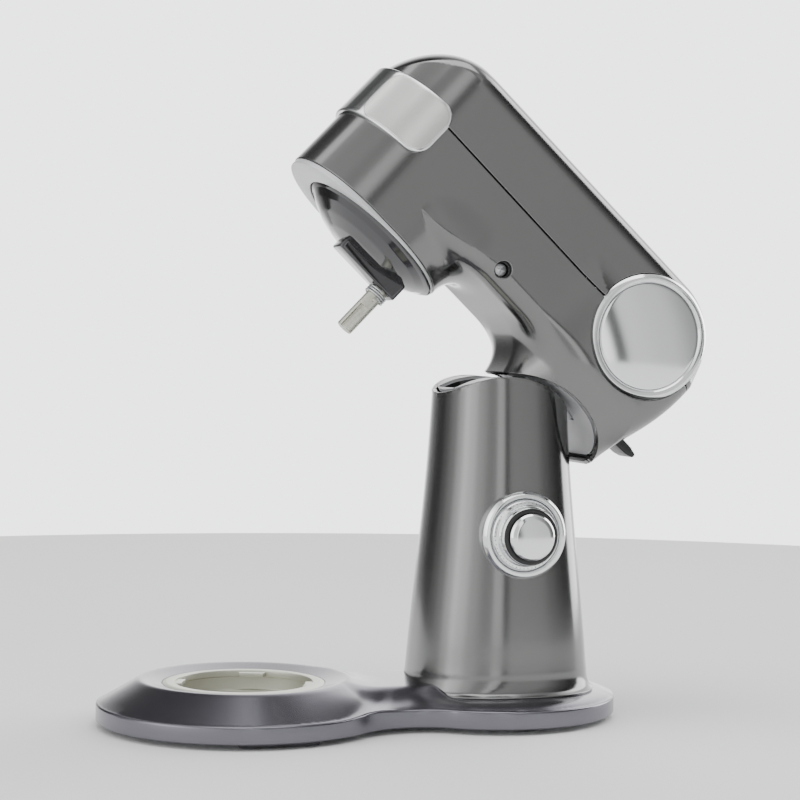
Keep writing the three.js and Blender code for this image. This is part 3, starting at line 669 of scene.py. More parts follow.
class Shader:
    """The node tree of a material or of the world."""

    def __init__(self, owner):
        owner.use_nodes = True
        self.tree = owner.node_tree
        self.tree.nodes.clear()

    def node(self, kind, settings=None, inputs=None, output=0):
        """Any node: its settings first, then the values or wires of its sockets."""
        node = self.tree.nodes.new(kind)
        for key, value in (settings or {}).items():
            if key == "stops":
                ramp = node.color_ramp
                while len(ramp.elements) > 1:
                    ramp.elements.remove(ramp.elements[-1])
                ramp.elements[0].position = value[0][0]
                ramp.elements[0].color = (*value[0][1], 1)
                for position, tint in value[1:]:
                    ramp.elements.new(position).color = (*tint, 1)
            elif key == "blend":
                node.color_ramp.interpolation = value
            else:
                setattr(node, key, value)
        for key, value in (inputs or {}).items():
            socket = node.inputs[key]
            if isinstance(value, Wire):
                self.tree.links.new(value.socket, socket)
            else:
                socket.default_value = value
        return Wire(self, node.outputs[output])

    def mix(self, share, first, second):
        """A colour between two others."""
        values = {0: share, 6: rgba(first), 7: rgba(second)}
        return self.node("ShaderNodeMix", {"data_type": "RGBA"}, values, output=2)

    def place(self, stretch=(1, 1, 1)):
        """Position on the piece, stretched along its axes."""
        where = self.node("ShaderNodeTexCoord", output=3)
        return self.node("ShaderNodeMapping", {}, {"Vector": where, "Scale": stretch})

    def noise(self, scale, detail=2.0, stretch=(1, 1, 1)):
        """Soft noise from 0 to 1, with scale in features per metre."""
        return self.node("ShaderNodeTexNoise", {}, {
            "Vector": self.place(stretch), "Scale": scale, "Detail": detail, "Roughness": 0.5})

    def bump(self, height, strength, distance):
        """A normal from a height."""
        return self.node("ShaderNodeBump", {}, {"Height": height, "Strength": strength, "Distance": distance})

    def finish(self, colour, roughness, normal=None, **constants):
        """The Principled shader and the output."""
        inputs = {"Base Color": colour, "Roughness": roughness}
        if normal is not None:
            inputs["Normal"] = normal
        inputs.update({key.replace("_", " ").title(): value for key, value in constants.items()})
        surface = self.node("ShaderNodeBsdfPrincipled", {}, inputs)
        self.node_output("ShaderNodeOutputMaterial", surface)

    def node_output(self, kind, surface):
        node = self.tree.nodes.new(kind)
        self.tree.links.new(surface.socket, node.inputs["Surface"])


def rgba(value):
    """A colour socket's value, or the wire unchanged."""
    return value if isinstance(value, Wire) else (*value[:3], 1)


def shade(tint, factor):
    """A lighter or darker version of a colour."""
    return tuple(min(1.0, channel * factor) for channel in tint[:3])


def material(name):
    """A new material with this name, or the one that is there already."""
    found = bpy.data.materials.get(name)
    if found:
        return found, None
    made = bpy.data.materials.new(name)
    return made, Shader(made)


def enamel(name, tint, roughness, coat):
    """Metallic enamel: fine flake in the colour, a slight orange peel, and a clear coat."""
    made, shader = material(name)
    if shader:
        flake = shader.noise(2600, detail=1.0)
        cloud = shader.noise(14, detail=3.0)
        grain = shader.mix(flake.between(0.30, 0.70), shade(tint, 0.92), shade(tint, 1.08))
        tone = shader.mix(cloud.between(0.35, 0.65) * 0.35, grain, shade(tint, 0.93))
        peel = shader.noise(420, detail=1.0)
        shader.finish(
            tone, roughness + 0.03 * (flake - 0.5) + 0.03 * (cloud - 0.5),
            shader.bump(peel, 0.012, 0.0003),
            metallic=0.94, coat_weight=coat, coat_roughness=0.08)
    return made


def plated(name, tint, roughness, smudge=0.05):
    """Bright plating with faint wiping marks."""
    made, shader = material(name)
    if shader:
        wipe = shader.noise(60, detail=4.0, stretch=(1, 1, 4))
        film = shader.noise(22, detail=3.0)
        tone = shader.mix(film.between(0.3, 0.7), shade(tint, 0.97), tint)
        shader.finish(
            tone, roughness + smudge * wipe.between(0.42, 0.75),
            shader.bump(shader.noise(900, detail=2.0), 0.006, 0.0002), metallic=1.0)
    return made


def brushed(name, tint, roughness, scale=700):
    """Machined or brushed metal with fine lines one way."""
    made, shader = material(name)
    if shader:
        lines = shader.noise(scale, detail=3.0, stretch=(1, 1, 18))
        cloud = shader.noise(40, detail=3.0)
        tone = shader.mix(lines.between(0.3, 0.7), shade(tint, 0.9), shade(tint, 1.06))
        tone = shader.mix(cloud.between(0.5, 0.8) * 0.4, tone, shade(tint, 0.85))
        shader.finish(
            tone, roughness + 0.06 * (lines - 0.5) + 0.05 * cloud,
            shader.bump(lines, 0.02, 0.0002), metallic=1.0)
    return made


def moulded(name, tint, roughness, grain=900, depth=0.15, metallic=0.0, coat=0.0):
    """Moulded plastic or rubber with a fine spark-eroded grain."""
    made, shader = material(name)
    if shader:
        pits = shader.noise(grain, detail=2.0)
        cloud = shader.noise(30, detail=3.0)
        tone = shader.mix(cloud.between(0.35, 0.65), shade(tint, 0.93), shade(tint, 1.05))
        tone = shader.mix(pits.between(0.45, 0.75) * 0.25, tone, shade(tint, 0.82))
        shader.finish(
            tone, roughness + 0.10 * (pits - 0.5) + 0.05 * (cloud - 0.5),
            shader.bump(pits, depth, 0.0004), metallic=metallic, coat_weight=coat, coat_roughness=0.2)
    return made


def wound(name, tint, steel):
    """Copper windings over steel laminations, in fine turns along the shaft."""
    made, shader = material(name)
    if shader:
        turns = shader.node("ShaderNodeTexWave", {"wave_type": "BANDS", "bands_direction": "Z"}, {
            "Vector": shader.place(), "Scale": 260, "Distortion": 1.5, "Detail": 1.0}, output=1)
        patch = shader.noise(90, detail=2.0).between(0.4, 0.6)
        tone = shader.mix(patch, tint, steel)
        tone = shader.mix(turns * 0.5, tone, shade(tint, 0.5))
        shader.finish(tone, 0.35 + 0.2 * turns, shader.bump(turns, 0.4, 0.0005), metallic=0.9)
    return made


def colours():
    """The scene's colour properties."""
    return bpy.context.scene.mixer_colours


def sizes():
    """The scene's size properties."""
    return bpy.context.scene.mixer_sizes


def studio():
    """The scene's camera and light properties."""
    return bpy.context.scene.mixer_studio


FINISHES = {
    "head_enamel": lambda: enamel("head_enamel", colours().enamel, 0.17, 0.15),
    "base_enamel": lambda: enamel("base_enamel", colours().base_enamel, 0.24, 0.15),
    "bell_enamel": lambda: enamel("bell_enamel", colours().bell_enamel, 0.12, 0.4),
    "pale_plate": lambda: moulded(
        "pale_plate", colours().pale, 0.36, grain=1400, depth=0.05, metallic=0.3),
    "chrome": lambda: plated("chrome", colours().chrome, 0.012, smudge=0.012),
    "satin_plate": lambda: plated("satin_plate", colours().satin, 0.26, smudge=0.015),
    "nickel": lambda: brushed("nickel", colours().nickel, 0.1, scale=300),
    "steel": lambda: brushed("steel", colours().steel, 0.30),
    "bronze": lambda: moulded("bronze", colours().bronze, 0.42, grain=1600, depth=0.3, metallic=0.9),
    "windings": lambda: wound("windings", colours().copper, colours().steel),
    "nylon": lambda: moulded("nylon", colours().nylon, 0.5, grain=700, depth=0.1),
    "board": lambda: moulded("board", colours().board, 0.4, grain=300, depth=0.1, coat=0.4),
    "rubber": lambda: moulded("rubber", colours().rubber, 0.72, grain=1100, depth=0.35),
    "black": lambda: moulded("black", colours().black, 0.30, grain=1500, depth=0.05),
}


# Base

LOBE_Y = COLUMN_Y - 5 * MM
WAIST_R = 52.6 * MM
WAIST_HALF = 64 * MM
WALL_TOP = 14.5 * MM
LOBE_TOP = 20.5 * MM
RIDGE_TOP = LOBE_TOP + 6.6 * MM
PLATEAU_TOP = BASE_HIGH[2]
PLATEAU_R = 71 * MM
DISH_Z = CLAMP_HIGH[2] - 0.7 * MM


def base_plan(x, y):
    """Distance outwards from the plan of the base: two round lobes and a hollow waist."""
    waist_x = WAIST_HALF + WAIST_R
    waist_y = DISC_Y + math.sqrt((DISC_R + WAIST_R) ** 2 - waist_x ** 2)
    side = np.abs(x)
    front = np.hypot(side, y - DISC_Y) - DISC_R
    rear = np.hypot(side, y - LOBE_Y) - (BASE_HIGH[1] - LOBE_Y)
    to_front, to_rear = np.array([-waist_x, DISC_Y - waist_y]), np.array([-waist_x, LOBE_Y - waist_y])
    dx, dy = side - waist_x, y - waist_y
    facing = (to_front[0] * dy - to_front[1] * dx < 0) & (to_rear[0] * dy - to_rear[1] * dx > 0)
    hollow = WAIST_R - np.hypot(dx, dy)
    return np.where(facing, hollow, np.minimum(front, rear))


def base_top(x, y):
    """Height of the base's top: a low rear lobe, a cone up to a dished plateau, and a ridge between them."""
    inset = np.maximum(-base_plan(x, y), 0)
    out = np.hypot(x, y - DISC_Y)
    behind = smooth_step((y - DISC_Y - 60 * MM) / (60 * MM))
    lobe = WALL_TOP + (LOBE_TOP - WALL_TOP) * (1 - np.exp(-inset / (7 * MM))) * behind
    lobe = lobe - 2 * MM * np.clip((DISC_R + 3 * MM - out) / (6 * MM), 0, 1)
    cone = WALL_TOP + (DISC_R - out) * (PLATEAU_TOP - WALL_TOP) / (DISC_R - PLATEAU_R)
    plateau = smooth_min(cone, np.full_like(cone, PLATEAU_TOP), 1.2 * MM)
    drop = 3 - smooth_step((62 * MM - np.abs(x)) / (30 * MM)) - smooth_step(
        (y - DISC_Y - 20 * MM) / (50 * MM)) - smooth_step((COLUMN_Y + 30 * MM - y) / (60 * MM))
    ridge = RIDGE_TOP - 16 * MM * drop
    reach = 3 * MM + 9 * MM * smooth_step((y - DISC_Y - 40 * MM) / (40 * MM))
    top = smooth_max(smooth_max(lobe, plateau, reach), ridge, 9 * MM)
    dish = DISH_Z + (out - CLAMP_R) * (PLATEAU_TOP - DISH_Z) / (PLATEAU_R - 1.2 * MM - CLAMP_R)
    return np.where(out < PLATEAU_R, smooth_min(top, dish, 0.8 * MM), top)


def base_solid():
    """The base casting: its top as a height over the plan, a rounded edge, and the upright side wall."""
    step, wall = sizes().base_step, sizes().wall
    edge = 1.6 * MM
    x, y, triangles = sheet_grid(
        np.arange(-DISC_R - step, DISC_R + 2 * step, step),
        np.arange(BASE_LOW[1] - step, BASE_HIGH[1] + 2 * step, step))
    flat = np.column_stack([x, y, np.zeros_like(x)])
    flat, triangles = trimmed(flat, triangles, lambda p: base_plan(p[:, 0], p[:, 1]) + edge, step)
    flat, triangles = trimmed(
        flat, triangles, lambda p: CLAMP_R + 0.3 * MM - np.hypot(p[:, 0], p[:, 1] - DISC_Y), step)
    top = flat.copy()
    top[:, 2] = base_top(flat[:, 0], flat[:, 1])
    under = top.copy()
    under[:, 2] -= wall
    count = len(top)
    border = border_of(triangles, count)
    outer = base_plan(flat[border[:, 0], 0], flat[border[:, 0], 1]) > -2 * edge
    sheets, faces = [top, under], [tuple(t) for t in triangles]
    faces += [(t[2] + count, t[1] + count, t[0] + count) for t in triangles]

    def skirt(links, profile):
        """Walls down from a border, in rows of (reach outwards, height or a function of the rim's)."""
        rim = np.unique(links)
        row_of = np.full(count, -1)
        row_of[rim] = np.arange(len(rim))
        points = top[rim]
        e = 0.2 * MM
        out = np.stack([
            base_plan(points[:, 0] + e, points[:, 1]) - base_plan(points[:, 0] - e, points[:, 1]),
            base_plan(points[:, 0], points[:, 1] + e) - base_plan(points[:, 0], points[:, 1] - e),
            np.zeros(len(rim))], 1)
        out /= np.maximum(np.linalg.norm(out, axis=1), 1e-9)[:, None]
        rows = [rim]
        for reach, height in profile:
            row = points + out * reach
            row[:, 2] = height(points[:, 2]) if callable(height) else height
            start = sum(len(sheet) for sheet in sheets)
            sheets.append(row)
            rows.append(np.arange(start, start + len(rim)))
        rows.append(rim + count)
        faces.extend(walls(rows, row_of[links[:, 0]], row_of[links[:, 1]]))

    low = BASE_LOW[2]
    bend = [(edge * out, lambda z, drop=edge * down: z - drop) for out, down in quarter(6)]
    skirt(border[outer], [
        *bend, (edge, WALL_TOP * 0.6), (edge, low + 1.0 * MM), (edge - 1.0 * MM, low), (edge - wall, low),
        (edge - wall - 1 * MM, WALL_TOP - wall)])
    skirt(border[~outer], [(0, lambda z: z - 0.8 * MM)])
    return np.concatenate(sheets), faces


class MIXER_OT_base(bpy.types.Operator):
    """Build the base casting"""

    bl_idname = "mixer.base"
    bl_label = "Base"

    def execute(self, context):
        add_piece("base_body", base_solid(), UPRIGHT, "base_enamel", "stand", ["base_casting"])
        return {"FINISHED"}


class MIXER_OT_feet(bpy.types.Operator):
    """Build the four rubber feet"""

    bl_idname = "mixer.feet"
    bl_label = "Feet"

    def execute(self, context):
        for side in ("left", "right"):
            for end, corner in (("front", 8 * MM), ("rear", None)):
                node = f"foot_{end}_{side}"
                low, high = corners(node)
                corner = corner or (high[0] - low[0]) / 2 - 0.01 * MM
                outline = rounded_box(low[0], high[0], low[1], high[1], corner, steps=16)
                pad = slab(outline, low[2], high[2] + 0.3 * MM, 0.9 * MM)
                add_piece(f"{node}_pad", pad, UPRIGHT, "rubber", "stand", [node])
        return {"FINISHED"}


def bowl_cup():
    """The plated cup that the bowl locks into, with its four lugs and three drain holes."""
    low, high = CLAMP_LOW[2], CLAMP_HIGH[2]
    bore = CLAMP_R - 8.5 * MM
    floor = low + 2 * MM
    groove = bore + 1.8 * MM
    hole_ring, hole_r = 30 * MM, 2.6 * MM
    cup = spun(eased([
        (0, low), (CLAMP_R - 5 * MM, low), (CLAMP_R - 5 * MM, high - 2.5 * MM), (CLAMP_R, high - 2.5 * MM),
        (CLAMP_R, high - 0.7 * MM), (CLAMP_R - 3 * MM, high), (bore, high), (bore, high - 4.2 * MM),
        (groove, high - 5 * MM), (groove, floor + 4 * MM), (bore, floor + 3.2 * MM), (bore, floor, 1.6 * MM),
        (25 * MM, floor), (24 * MM, floor + 1.4 * MM), (19 * MM, floor + 1.4 * MM), (18 * MM, floor),
        (0, floor)], 0.5 * MM), sides=128)
    lugs = []
    for degrees in (70, 160, 250, 340):
        span = arc((0, 0), bore + 1 * MM, degrees - 12, degrees + 12, 9) + arc(
            (0, 0), bore - 5 * MM, degrees + 12, degrees - 12, 9)
        outline = eased(span, 0.8 * MM, closed=True, steps=3)
        lugs.append(slab(outline, high - 4 * MM, high - 1 * MM, 0.5 * MM))
    holes = []
    for degrees in (0, 120, 240):
        turn = math.radians(degrees)
        hole = spun([(0, 0), (hole_r, 0), (hole_r, 20 * MM), (0, 20 * MM)], 24)
        holes.append(moved(hole, shifted(hole_ring * math.cos(turn), hole_ring * math.sin(turn))))
    return carved(carved(cup, lugs, "UNION"), holes)


class MIXER_OT_bowl_clamp(bpy.types.Operator):
    """Build the plated cup that holds the bowl"""

    bl_idname = "mixer.bowl_clamp"
    bl_label = "Bowl Clamp"

    def execute(self, context):
        add_piece("bowl_cup", bowl_cup(), shifted(y=DISC_Y), "nickel", "stand", ["bowl_clamp"])
        return {"FINISHED"}


# Column

# Stations of the tower: height, half width and half depth.
COLUMN_STATIONS = MM * np.array([
    [COLUMN_LOW[2] / MM, 65.4, 67.4], [22.4, 62.6, 65.1], [25, 60.9, 63.6], [29, 59.8, 62.5],
    [36, 59.2, 61.8], [60, 57.9, 59.6], [100, 55.6, 55.5], [172, 51, 48.6], [250, 46.3, 43.8]])
SECTION_POWER = 2.5


def smooth_curve(z, column):
    """Half width (column 1) or half depth (column 2) of the tower at a height, smooth between stations."""
    heights, values = COLUMN_STATIONS[:, 0], COLUMN_STATIONS[:, column]
    slopes = np.gradient(values, heights)
    z = np.clip(z, heights[0], heights[-1])
    i = np.clip(np.searchsorted(heights, z) - 1, 0, len(heights) - 2)
    span = heights[i + 1] - heights[i]
    t = (z - heights[i]) / span
    return ((2 * t ** 3 - 3 * t ** 2 + 1) * values[i] + (t ** 3 - 2 * t ** 2 + t) * span * slopes[i]
            + (3 * t ** 2 - 2 * t ** 3) * values[i + 1] + (t ** 3 - t ** 2) * span * slopes[i + 1])


def tower_field(points, inset=0.0):
    """Distance outwards from the tapered tower."""
    half_x = smooth_curve(points[:, 2], 1) - inset
    half_y = smooth_curve(points[:, 2], 2) - inset
    x, y = points[:, 0] / half_x, (points[:, 1] - COLUMN_Y) / half_y
    size = (np.abs(x) ** SECTION_POWER + np.abs(y) ** SECTION_POWER) ** (1 / SECTION_POWER)
    return (size - 1) * (half_x + half_y) / 2


def barrel_field(points, radius):
    """Distance outwards from a cylinder round the tilt hinge."""
    return np.hypot(points[:, 1] - HINGE[1], points[:, 2] - HINGE[2]) - radius


def column_solid():
    """The tower: a squared-round section that tapers and flares into its foot, hollowed out at the hinge."""
    edge = sizes().rim_round
    angles = np.linspace(0, 2 * math.pi, 241)[:-1]
    heights = np.concatenate([
        np.linspace(COLUMN_LOW[2] + edge, 40 * MM, 18), np.linspace(42 * MM, COLUMN_HIGH[2] + 8 * MM, 90)])
    a, z = np.meshgrid(angles, heights, indexing="ij")
    c, s = np.cos(a), np.sin(a)
    x = np.sign(c) * np.abs(c) ** (2 / SECTION_POWER) * smooth_curve(z, 1)
    y = np.sign(s) * np.abs(s) ** (2 / SECTION_POWER) * smooth_curve(z, 2) + COLUMN_Y
    points = np.stack([x, y, z], -1).reshape(-1, 3)
    index = np.arange(len(points)).reshape(a.shape)
    after = np.roll(index, -1, 0)
    quads = np.stack([index[:, :-1], after[:, :-1], after[:, 1:], index[:, 1:]], -1).reshape(-1, 4)
    radius = SADDLE_R - 0.3 * MM

    def above_saddle(p):
        """Positive above the hinge and outside the barrel that the top is cut to."""
        return np.where(p[:, 2] > HINGE[2], barrel_field(p, radius - edge), -1.0)

    points, triangles = trimmed(points, split(quads), above_saddle, 2 * MM)
    return thick(points, triangles, tower_field, sizes().wall, edge)


class MIXER_OT_column(bpy.types.Operator):
    """Build the tapered tower"""

    bl_idname = "mixer.column"
    bl_label = "Column"

    def execute(self, context):
        add_piece("column_tower", column_solid(), UPRIGHT, "head_enamel", "stand", ["column_casting"])
        return {"FINISHED"}


def barrel_sheet(radius, half_width, start, end, step):
    """An open sheet on a cylinder round the hinge, between two angles from straight up, in level axes."""
    x, a, triangles = sheet_grid(
        np.arange(-half_width, half_width + step, step), np.arange(start, end, step / radius))
    points = np.column_stack([x, radius * np.sin(a), radius * np.cos(a)])
    return points, triangles[:, ::-1]


class MIXER_OT_column_cap(bpy.types.Operator):
    """Build the pale cap that closes the column round the hinge"""

    bl_idname = "mixer.column_cap"
    bl_label = "Column Cap"

    def execute(self, context):
        step, edge = 1.6 * MM, 0.5 * MM
        radius = SADDLE_R - 0.8 * MM
        points, triangles = barrel_sheet(radius, 60 * MM, -1.35, 1.35, step)
        points = points + HINGE
        cap_bottom = corners("column_cap")[0][2]
        trims = [
            lambda p: tower_field(p, sizes().wall + 0.3 * MM) + edge,
            lambda p: cap_bottom + edge - p[:, 2],
            lambda p: np.minimum(19 * MM + edge - np.abs(p[:, 0]), p[:, 1] - (COLUMN_Y - 38 * MM - edge))]
        for trim in trims:
            points, triangles = trimmed(points, triangles, trim, step)
        cap = thick(points, triangles, lambda p: barrel_field(p, radius), 2.2 * MM, edge)
        add_piece("hinge_cap", cap, UPRIGHT, "pale_plate", "stand", ["column_cap"])
        return {"FINISHED"}


# Speed control

KNOB_AXES = sideways(COLUMN_Y, KNOB_Z)
FLANGE_X = 57.2 * MM
FLANGE_TOP = FLANGE_X + 2.65 * MM


def knob_bezel():
    """The plated collar on the column, with a dished scale ring inside a rounded lip."""
    low, high = corners("knob_bezel")
    outer = (high[2] - low[2]) / 2
    face = low[0]
    seat = face - 8.5 * MM
    return spun(eased([
        (outer - 2 * MM, face), (outer - 2 * MM, seat), (outer, seat), (outer, face + 2.2 * MM, 1.2 * MM),
        (outer - 2 * MM, face + 4.8 * MM, 1 * MM), (outer - 4 * MM, high[0], 0.8 * MM),
        (24.8 * MM, high[0] - 1.6 * MM), (24.6 * MM, face + 2.6 * MM), (13 * MM, face + 2.6 * MM),
        (13 * MM, face)], 0.4 * MM, closed=True), sides=144, ring=True)


def knob_grip():
    """The plated dial: a flange, a finely fluted grip and its shaft."""
    low, high = corners("knob_dial")
    top = high[0] - 1.2 * MM
    return spun(eased([
        (0, low[0]), (3 * MM, low[0]), (3 * MM, FLANGE_X), (24 * MM, FLANGE_X),
        (24 * MM, FLANGE_X + 1.6 * MM, 0.7 * MM), (23.2 * MM, FLANGE_X + 2.6 * MM, 0.5 * MM),
        (21.1 * MM, FLANGE_X + 3.2 * MM), (20.4 * MM, FLANGE_X + 4.6 * MM), (20.1 * MM, top - 1.6 * MM),
        (19.3 * MM, top, 0.6 * MM), (18.2 * MM, top), (18.2 * MM, top - 1.4 * MM), (0, top - 1.4 * MM)],
        0.35 * MM), sides=288, ripple=(sizes().knurls, 0.16 * MM, FLANGE_X + 5 * MM, top - 2 * MM))


def knob_ring():
    """The black ring let into the front of the dial round its cap."""
    _, high = corners("knob_dial")
    low, top = high[0] - 2.6 * MM, high[0]
    return spun(eased([
        (0, low), (19.2 * MM, low), (19.2 * MM, top - 0.6 * MM, 0.5 * MM), (18 * MM, top, 0.5 * MM),
        (16.3 * MM, top, 0.3 * MM), (16.3 * MM, top - 1.6 * MM), (0, top - 1.6 * MM)], 0.3 * MM), sides=128)


def knob_button():
    """The plated cap in the middle of the dial, slightly domed with a turned rim."""
    low, high = corners("knob_cap")
    outer = (high[2] - low[2]) / 2 + 0.5 * MM
    base = low[0] + 0.4 * MM
    return spun(eased([
        (0, base), (outer, base), (outer, high[0] - 3.6 * MM, 1 * MM),
        (outer - 1.4 * MM, high[0] - 2.0 * MM, 1 * MM), (outer - 4 * MM, high[0] - 1.0 * MM, 4 * MM),
        (0, high[0])], 0.4 * MM), sides=128)


def scale_marks():
    """Marks of the speed scale on the dial's flange, with every fifth one longer."""
    radius, half_width = 22.2 * MM, 0.28 * MM
    marks = []
    for i in range(sizes().ticks):
        half = (1.7 if i % 5 == 0 else 1.1) * MM / 2
        outline = rounded_box(radius - half, radius + half, -half_width, half_width, 0.15 * MM, 4)
        mark = slab(outline, FLANGE_TOP - 0.3 * MM, FLANGE_TOP + 0.25 * MM, 0.05 * MM, steps=2)
        marks.append(moved(mark, turned(360 * i / sizes().ticks)))
    return merged(*marks)


class MIXER_OT_speed_knob(bpy.types.Operator):
    """Build the speed knob, its collar and its scale"""

    bl_idname = "mixer.speed_knob"
    bl_label = "Speed Knob"

    def execute(self, context):
        add_piece("knob_collar", knob_bezel(), KNOB_AXES, "chrome", "stand", ["knob_bezel"])
        add_piece("knob_grip", knob_grip(), KNOB_AXES, "chrome", "speed_knob", ["knob_dial"])
        add_piece("knob_scale", scale_marks(), KNOB_AXES, "black", "speed_knob")
        add_piece("knob_ring", knob_ring(), KNOB_AXES, "black", "speed_knob")
        add_piece("knob_button", knob_button(), KNOB_AXES, "chrome", "speed_knob", ["knob_cap"])
        return {"FINISHED"}


# Head castings, in the head's own axes

BEAM_LOW = 80 * MM
SKIRT_LOW = 56.5 * MM
NECK_R = 68.5 * MM
NECK_U = 1.25 * MM
TOP_FRONT = 184 * MM


def head_plan(x, u):
    """Distance outwards from the plan of the head: a round nose, and sides that draw in to the tail."""
    half = np.interp(u, [NOSE_U, TAIL_U + 22 * MM], [NOSE_HALF, NOSE_HALF - 2 * MM])
    nose = np.hypot(x, u - NOSE_U) - NOSE_HALF
    return np.where(u < NOSE_U, nose, np.abs(x) - half)


def head_outline(u, w):
    """Distance outwards from the head's side outline without its belly: nose, brow, top and round tail."""
    brow_r = sizes().nose_round
    brow_u, brow_w = UPPER_LOW[1] + brow_r, TOP_FRONT - brow_r
    top_line = TOP_FRONT + (TAIL_W + TAIL_R - TOP_FRONT) * (u - NOSE_U) / (TAIL_U - NOSE_U)
    top = w - np.where(u < TAIL_U, top_line, TAIL_W + TAIL_R)
    front = np.where(w > brow_w, np.hypot(u - brow_u, w - brow_w) - brow_r, brow_u - brow_r - u)
    tail = np.hypot(u - TAIL_U, w - TAIL_W) - TAIL_R
    drop = np.maximum(TAIL_W - w, 0) / (TAIL_W - BEAM_LOW)
    rump = u - (TAIL_U + TAIL_R - 14.5 * MM * drop ** 2.3)
    back = np.where(w > TAIL_W, np.where(u > TAIL_U, tail, -1.0), rump)
    return np.where(u < brow_u, front, np.maximum(top, back))


def round_box(a, b, radius):
    """Distance outwards from a shape with round corners, from the distances past their centres' two lines."""
    return np.hypot(np.maximum(a, 0), np.maximum(b, 0)) + np.minimum(np.maximum(a, b), 0) - radius


def rounded_corner(a, b, radius):
    """Both of two fields, with a round edge where they meet."""
    return round_box(a + radius, b + radius, radius)


def head_field(points):
    """Distance outwards from the whole head casting, before it is cut."""
    x, u, w = points.T
    settings = sizes()
    brow_u, brow_w = UPPER_LOW[1] + settings.nose_round, TOP_FRONT - settings.nose_round
    plan, outline = head_plan(x, u), head_outline(u, w)
    rise = np.where(u < brow_u, np.clip((w - brow_w) / settings.nose_round, 0, 1), 1)
    radius = settings.side_round * rise
    nose = np.maximum(rounded_corner(outline, plan, radius), SKIRT_LOW - 10 * MM - w)
    belly = settings.side_round * np.maximum(smooth_step((u - BELL_U) / (80 * MM)), 0.03)
    beam = np.maximum(rounded_corner(outline, plan, radius), rounded_corner(BEAM_LOW - w, plan, belly))
    taper = 20 * np.maximum(w - 86 * MM, 0) ** 2
    skirt = np.maximum(np.hypot(x, u - BELL_U) - NOSE_HALF + taper, SKIRT_LOW - 10 * MM - w)
    reach = settings.skirt_blend * np.clip((u - BELL_U) / (45 * MM), 0.001, 1)
    body = np.where(u < BELL_U, nose, smooth_min(beam, skirt, reach))
    corner, half = 34 * MM, 45.25 * MM
    neck = round_box(np.abs(x) - (50 * MM - corner), np.abs(u - NECK_U) - (half - corner), corner)
    neck = np.maximum(neck, np.maximum(10 * MM - w, w - 118 * MM))
    return smooth_min(body, neck, settings.neck_blend)


def head_trims(edge):
    """Fields that cut the head's openings: hinge hollow, bell, medallions, screws, outlet, lever slot."""
    def hollow(p):
        return NECK_R + edge - np.hypot(p[:, 1], p[:, 2])

    def skirt(p):
        return np.where(p[:, 1] < -100 * MM, SKIRT_LOW + edge - p[:, 2], -1.0)

    def round_hole(u, w, radius):
        return lambda p: np.where(
            np.abs(p[:, 0]) > 30 * MM, radius + edge - np.hypot(p[:, 1] - u, p[:, 2] - w), -1.0)

    def outlet(p):
        centre = (COVER_LOW[2] + COVER_HIGH[2]) / 2 - 1 * MM
        return np.where(
            p[:, 1] < -225 * MM, 17 * MM + edge - np.hypot(p[:, 0], p[:, 2] - centre), -1.0)

    def lever_slot(p):
        box = np.maximum(np.abs(p[:, 0]) - 15.5 * MM, np.abs(p[:, 2] - 82.5 * MM) - 8.5 * MM)
        return np.where(p[:, 1] > 20 * MM, edge - box, -1.0)

    return [hollow, skirt, round_hole(TAIL_U, TAIL_W, MEDALLION_R + 0.4 * MM),
            round_hole(SCREW_U, SCREW_W, 6 * MM), outlet, lever_slot]


class MIXER_OT_head(bpy.types.Operator):
    """Build the two head castings"""

    bl_idname = "mixer.head"
    bl_label = "Head Castings"

    def execute(self, context):
        settings = sizes()
        step, edge = settings.head_step, settings.rim_round
        low = np.array([-62 * MM, UPPER_LOW[1] - 8 * MM, 14 * MM])
        high = np.array([62 * MM, UPPER_HIGH[1] + 8 * MM, UPPER_HIGH[2] + 8 * MM])
        points, triangles = surface_of(head_field, low, high, step)
        for trim in head_trims(edge):
            points, triangles = trimmed(points, triangles, trim, step)
        gap = settings.seam / 2 + edge
        parts = {
            "head_lower": ("head_lower_casting", lambda p: p[:, 2] - (SPLIT_W - gap)),
            "head_top": ("head_top_cover", lambda p: (SPLIT_W + gap) - p[:, 2])}
        for name, (node, side) in parts.items():
            part = trimmed(points, triangles, side, step)
            shell = thick(*part, head_field, settings.wall, edge)
            add_piece(name, shell, HEAD, "head_enamel", "head", [node], head_field, len(part[0]))
        return {"FINISHED"}


def bell_plate():
    """The pale ring round the bell, which widens forwards to fill the nose."""
    low, high = head_box("nose_plate")
    inner, reach = BELL_R + 0.8 * MM, NOSE_HALF - 0.6 * MM
    forward = BELL_U - NOSE_U
    rows = []
    for angle in np.linspace(0, 2 * math.pi, 241)[:-1]:
        s, c = abs(math.sin(angle)), math.cos(angle)
        outer = reach
        if c > 0:
            hit = forward * c + math.sqrt(reach ** 2 - (forward * s) ** 2)
            outer = hit if hit * c > forward else reach / s
        section = rounded_box(inner, outer, low[2] + 1.1 * MM * (1 - c), high[2], 0.35 * MM, 4)
        rows.append([(r * math.sin(angle), BELL_U - r * c, w) for r, w in section])
    points = np.array(rows)
    sides, count = points.shape[:2]
    faces = []
    for i in range(sides):
        a, b = i * count, (i + 1) % sides * count
        for j in range(count):
            k = (j + 1) % count
            faces.append((a + j, b + j, b + k, a + k))
    return outwards(points.reshape(-1, 3), faces)


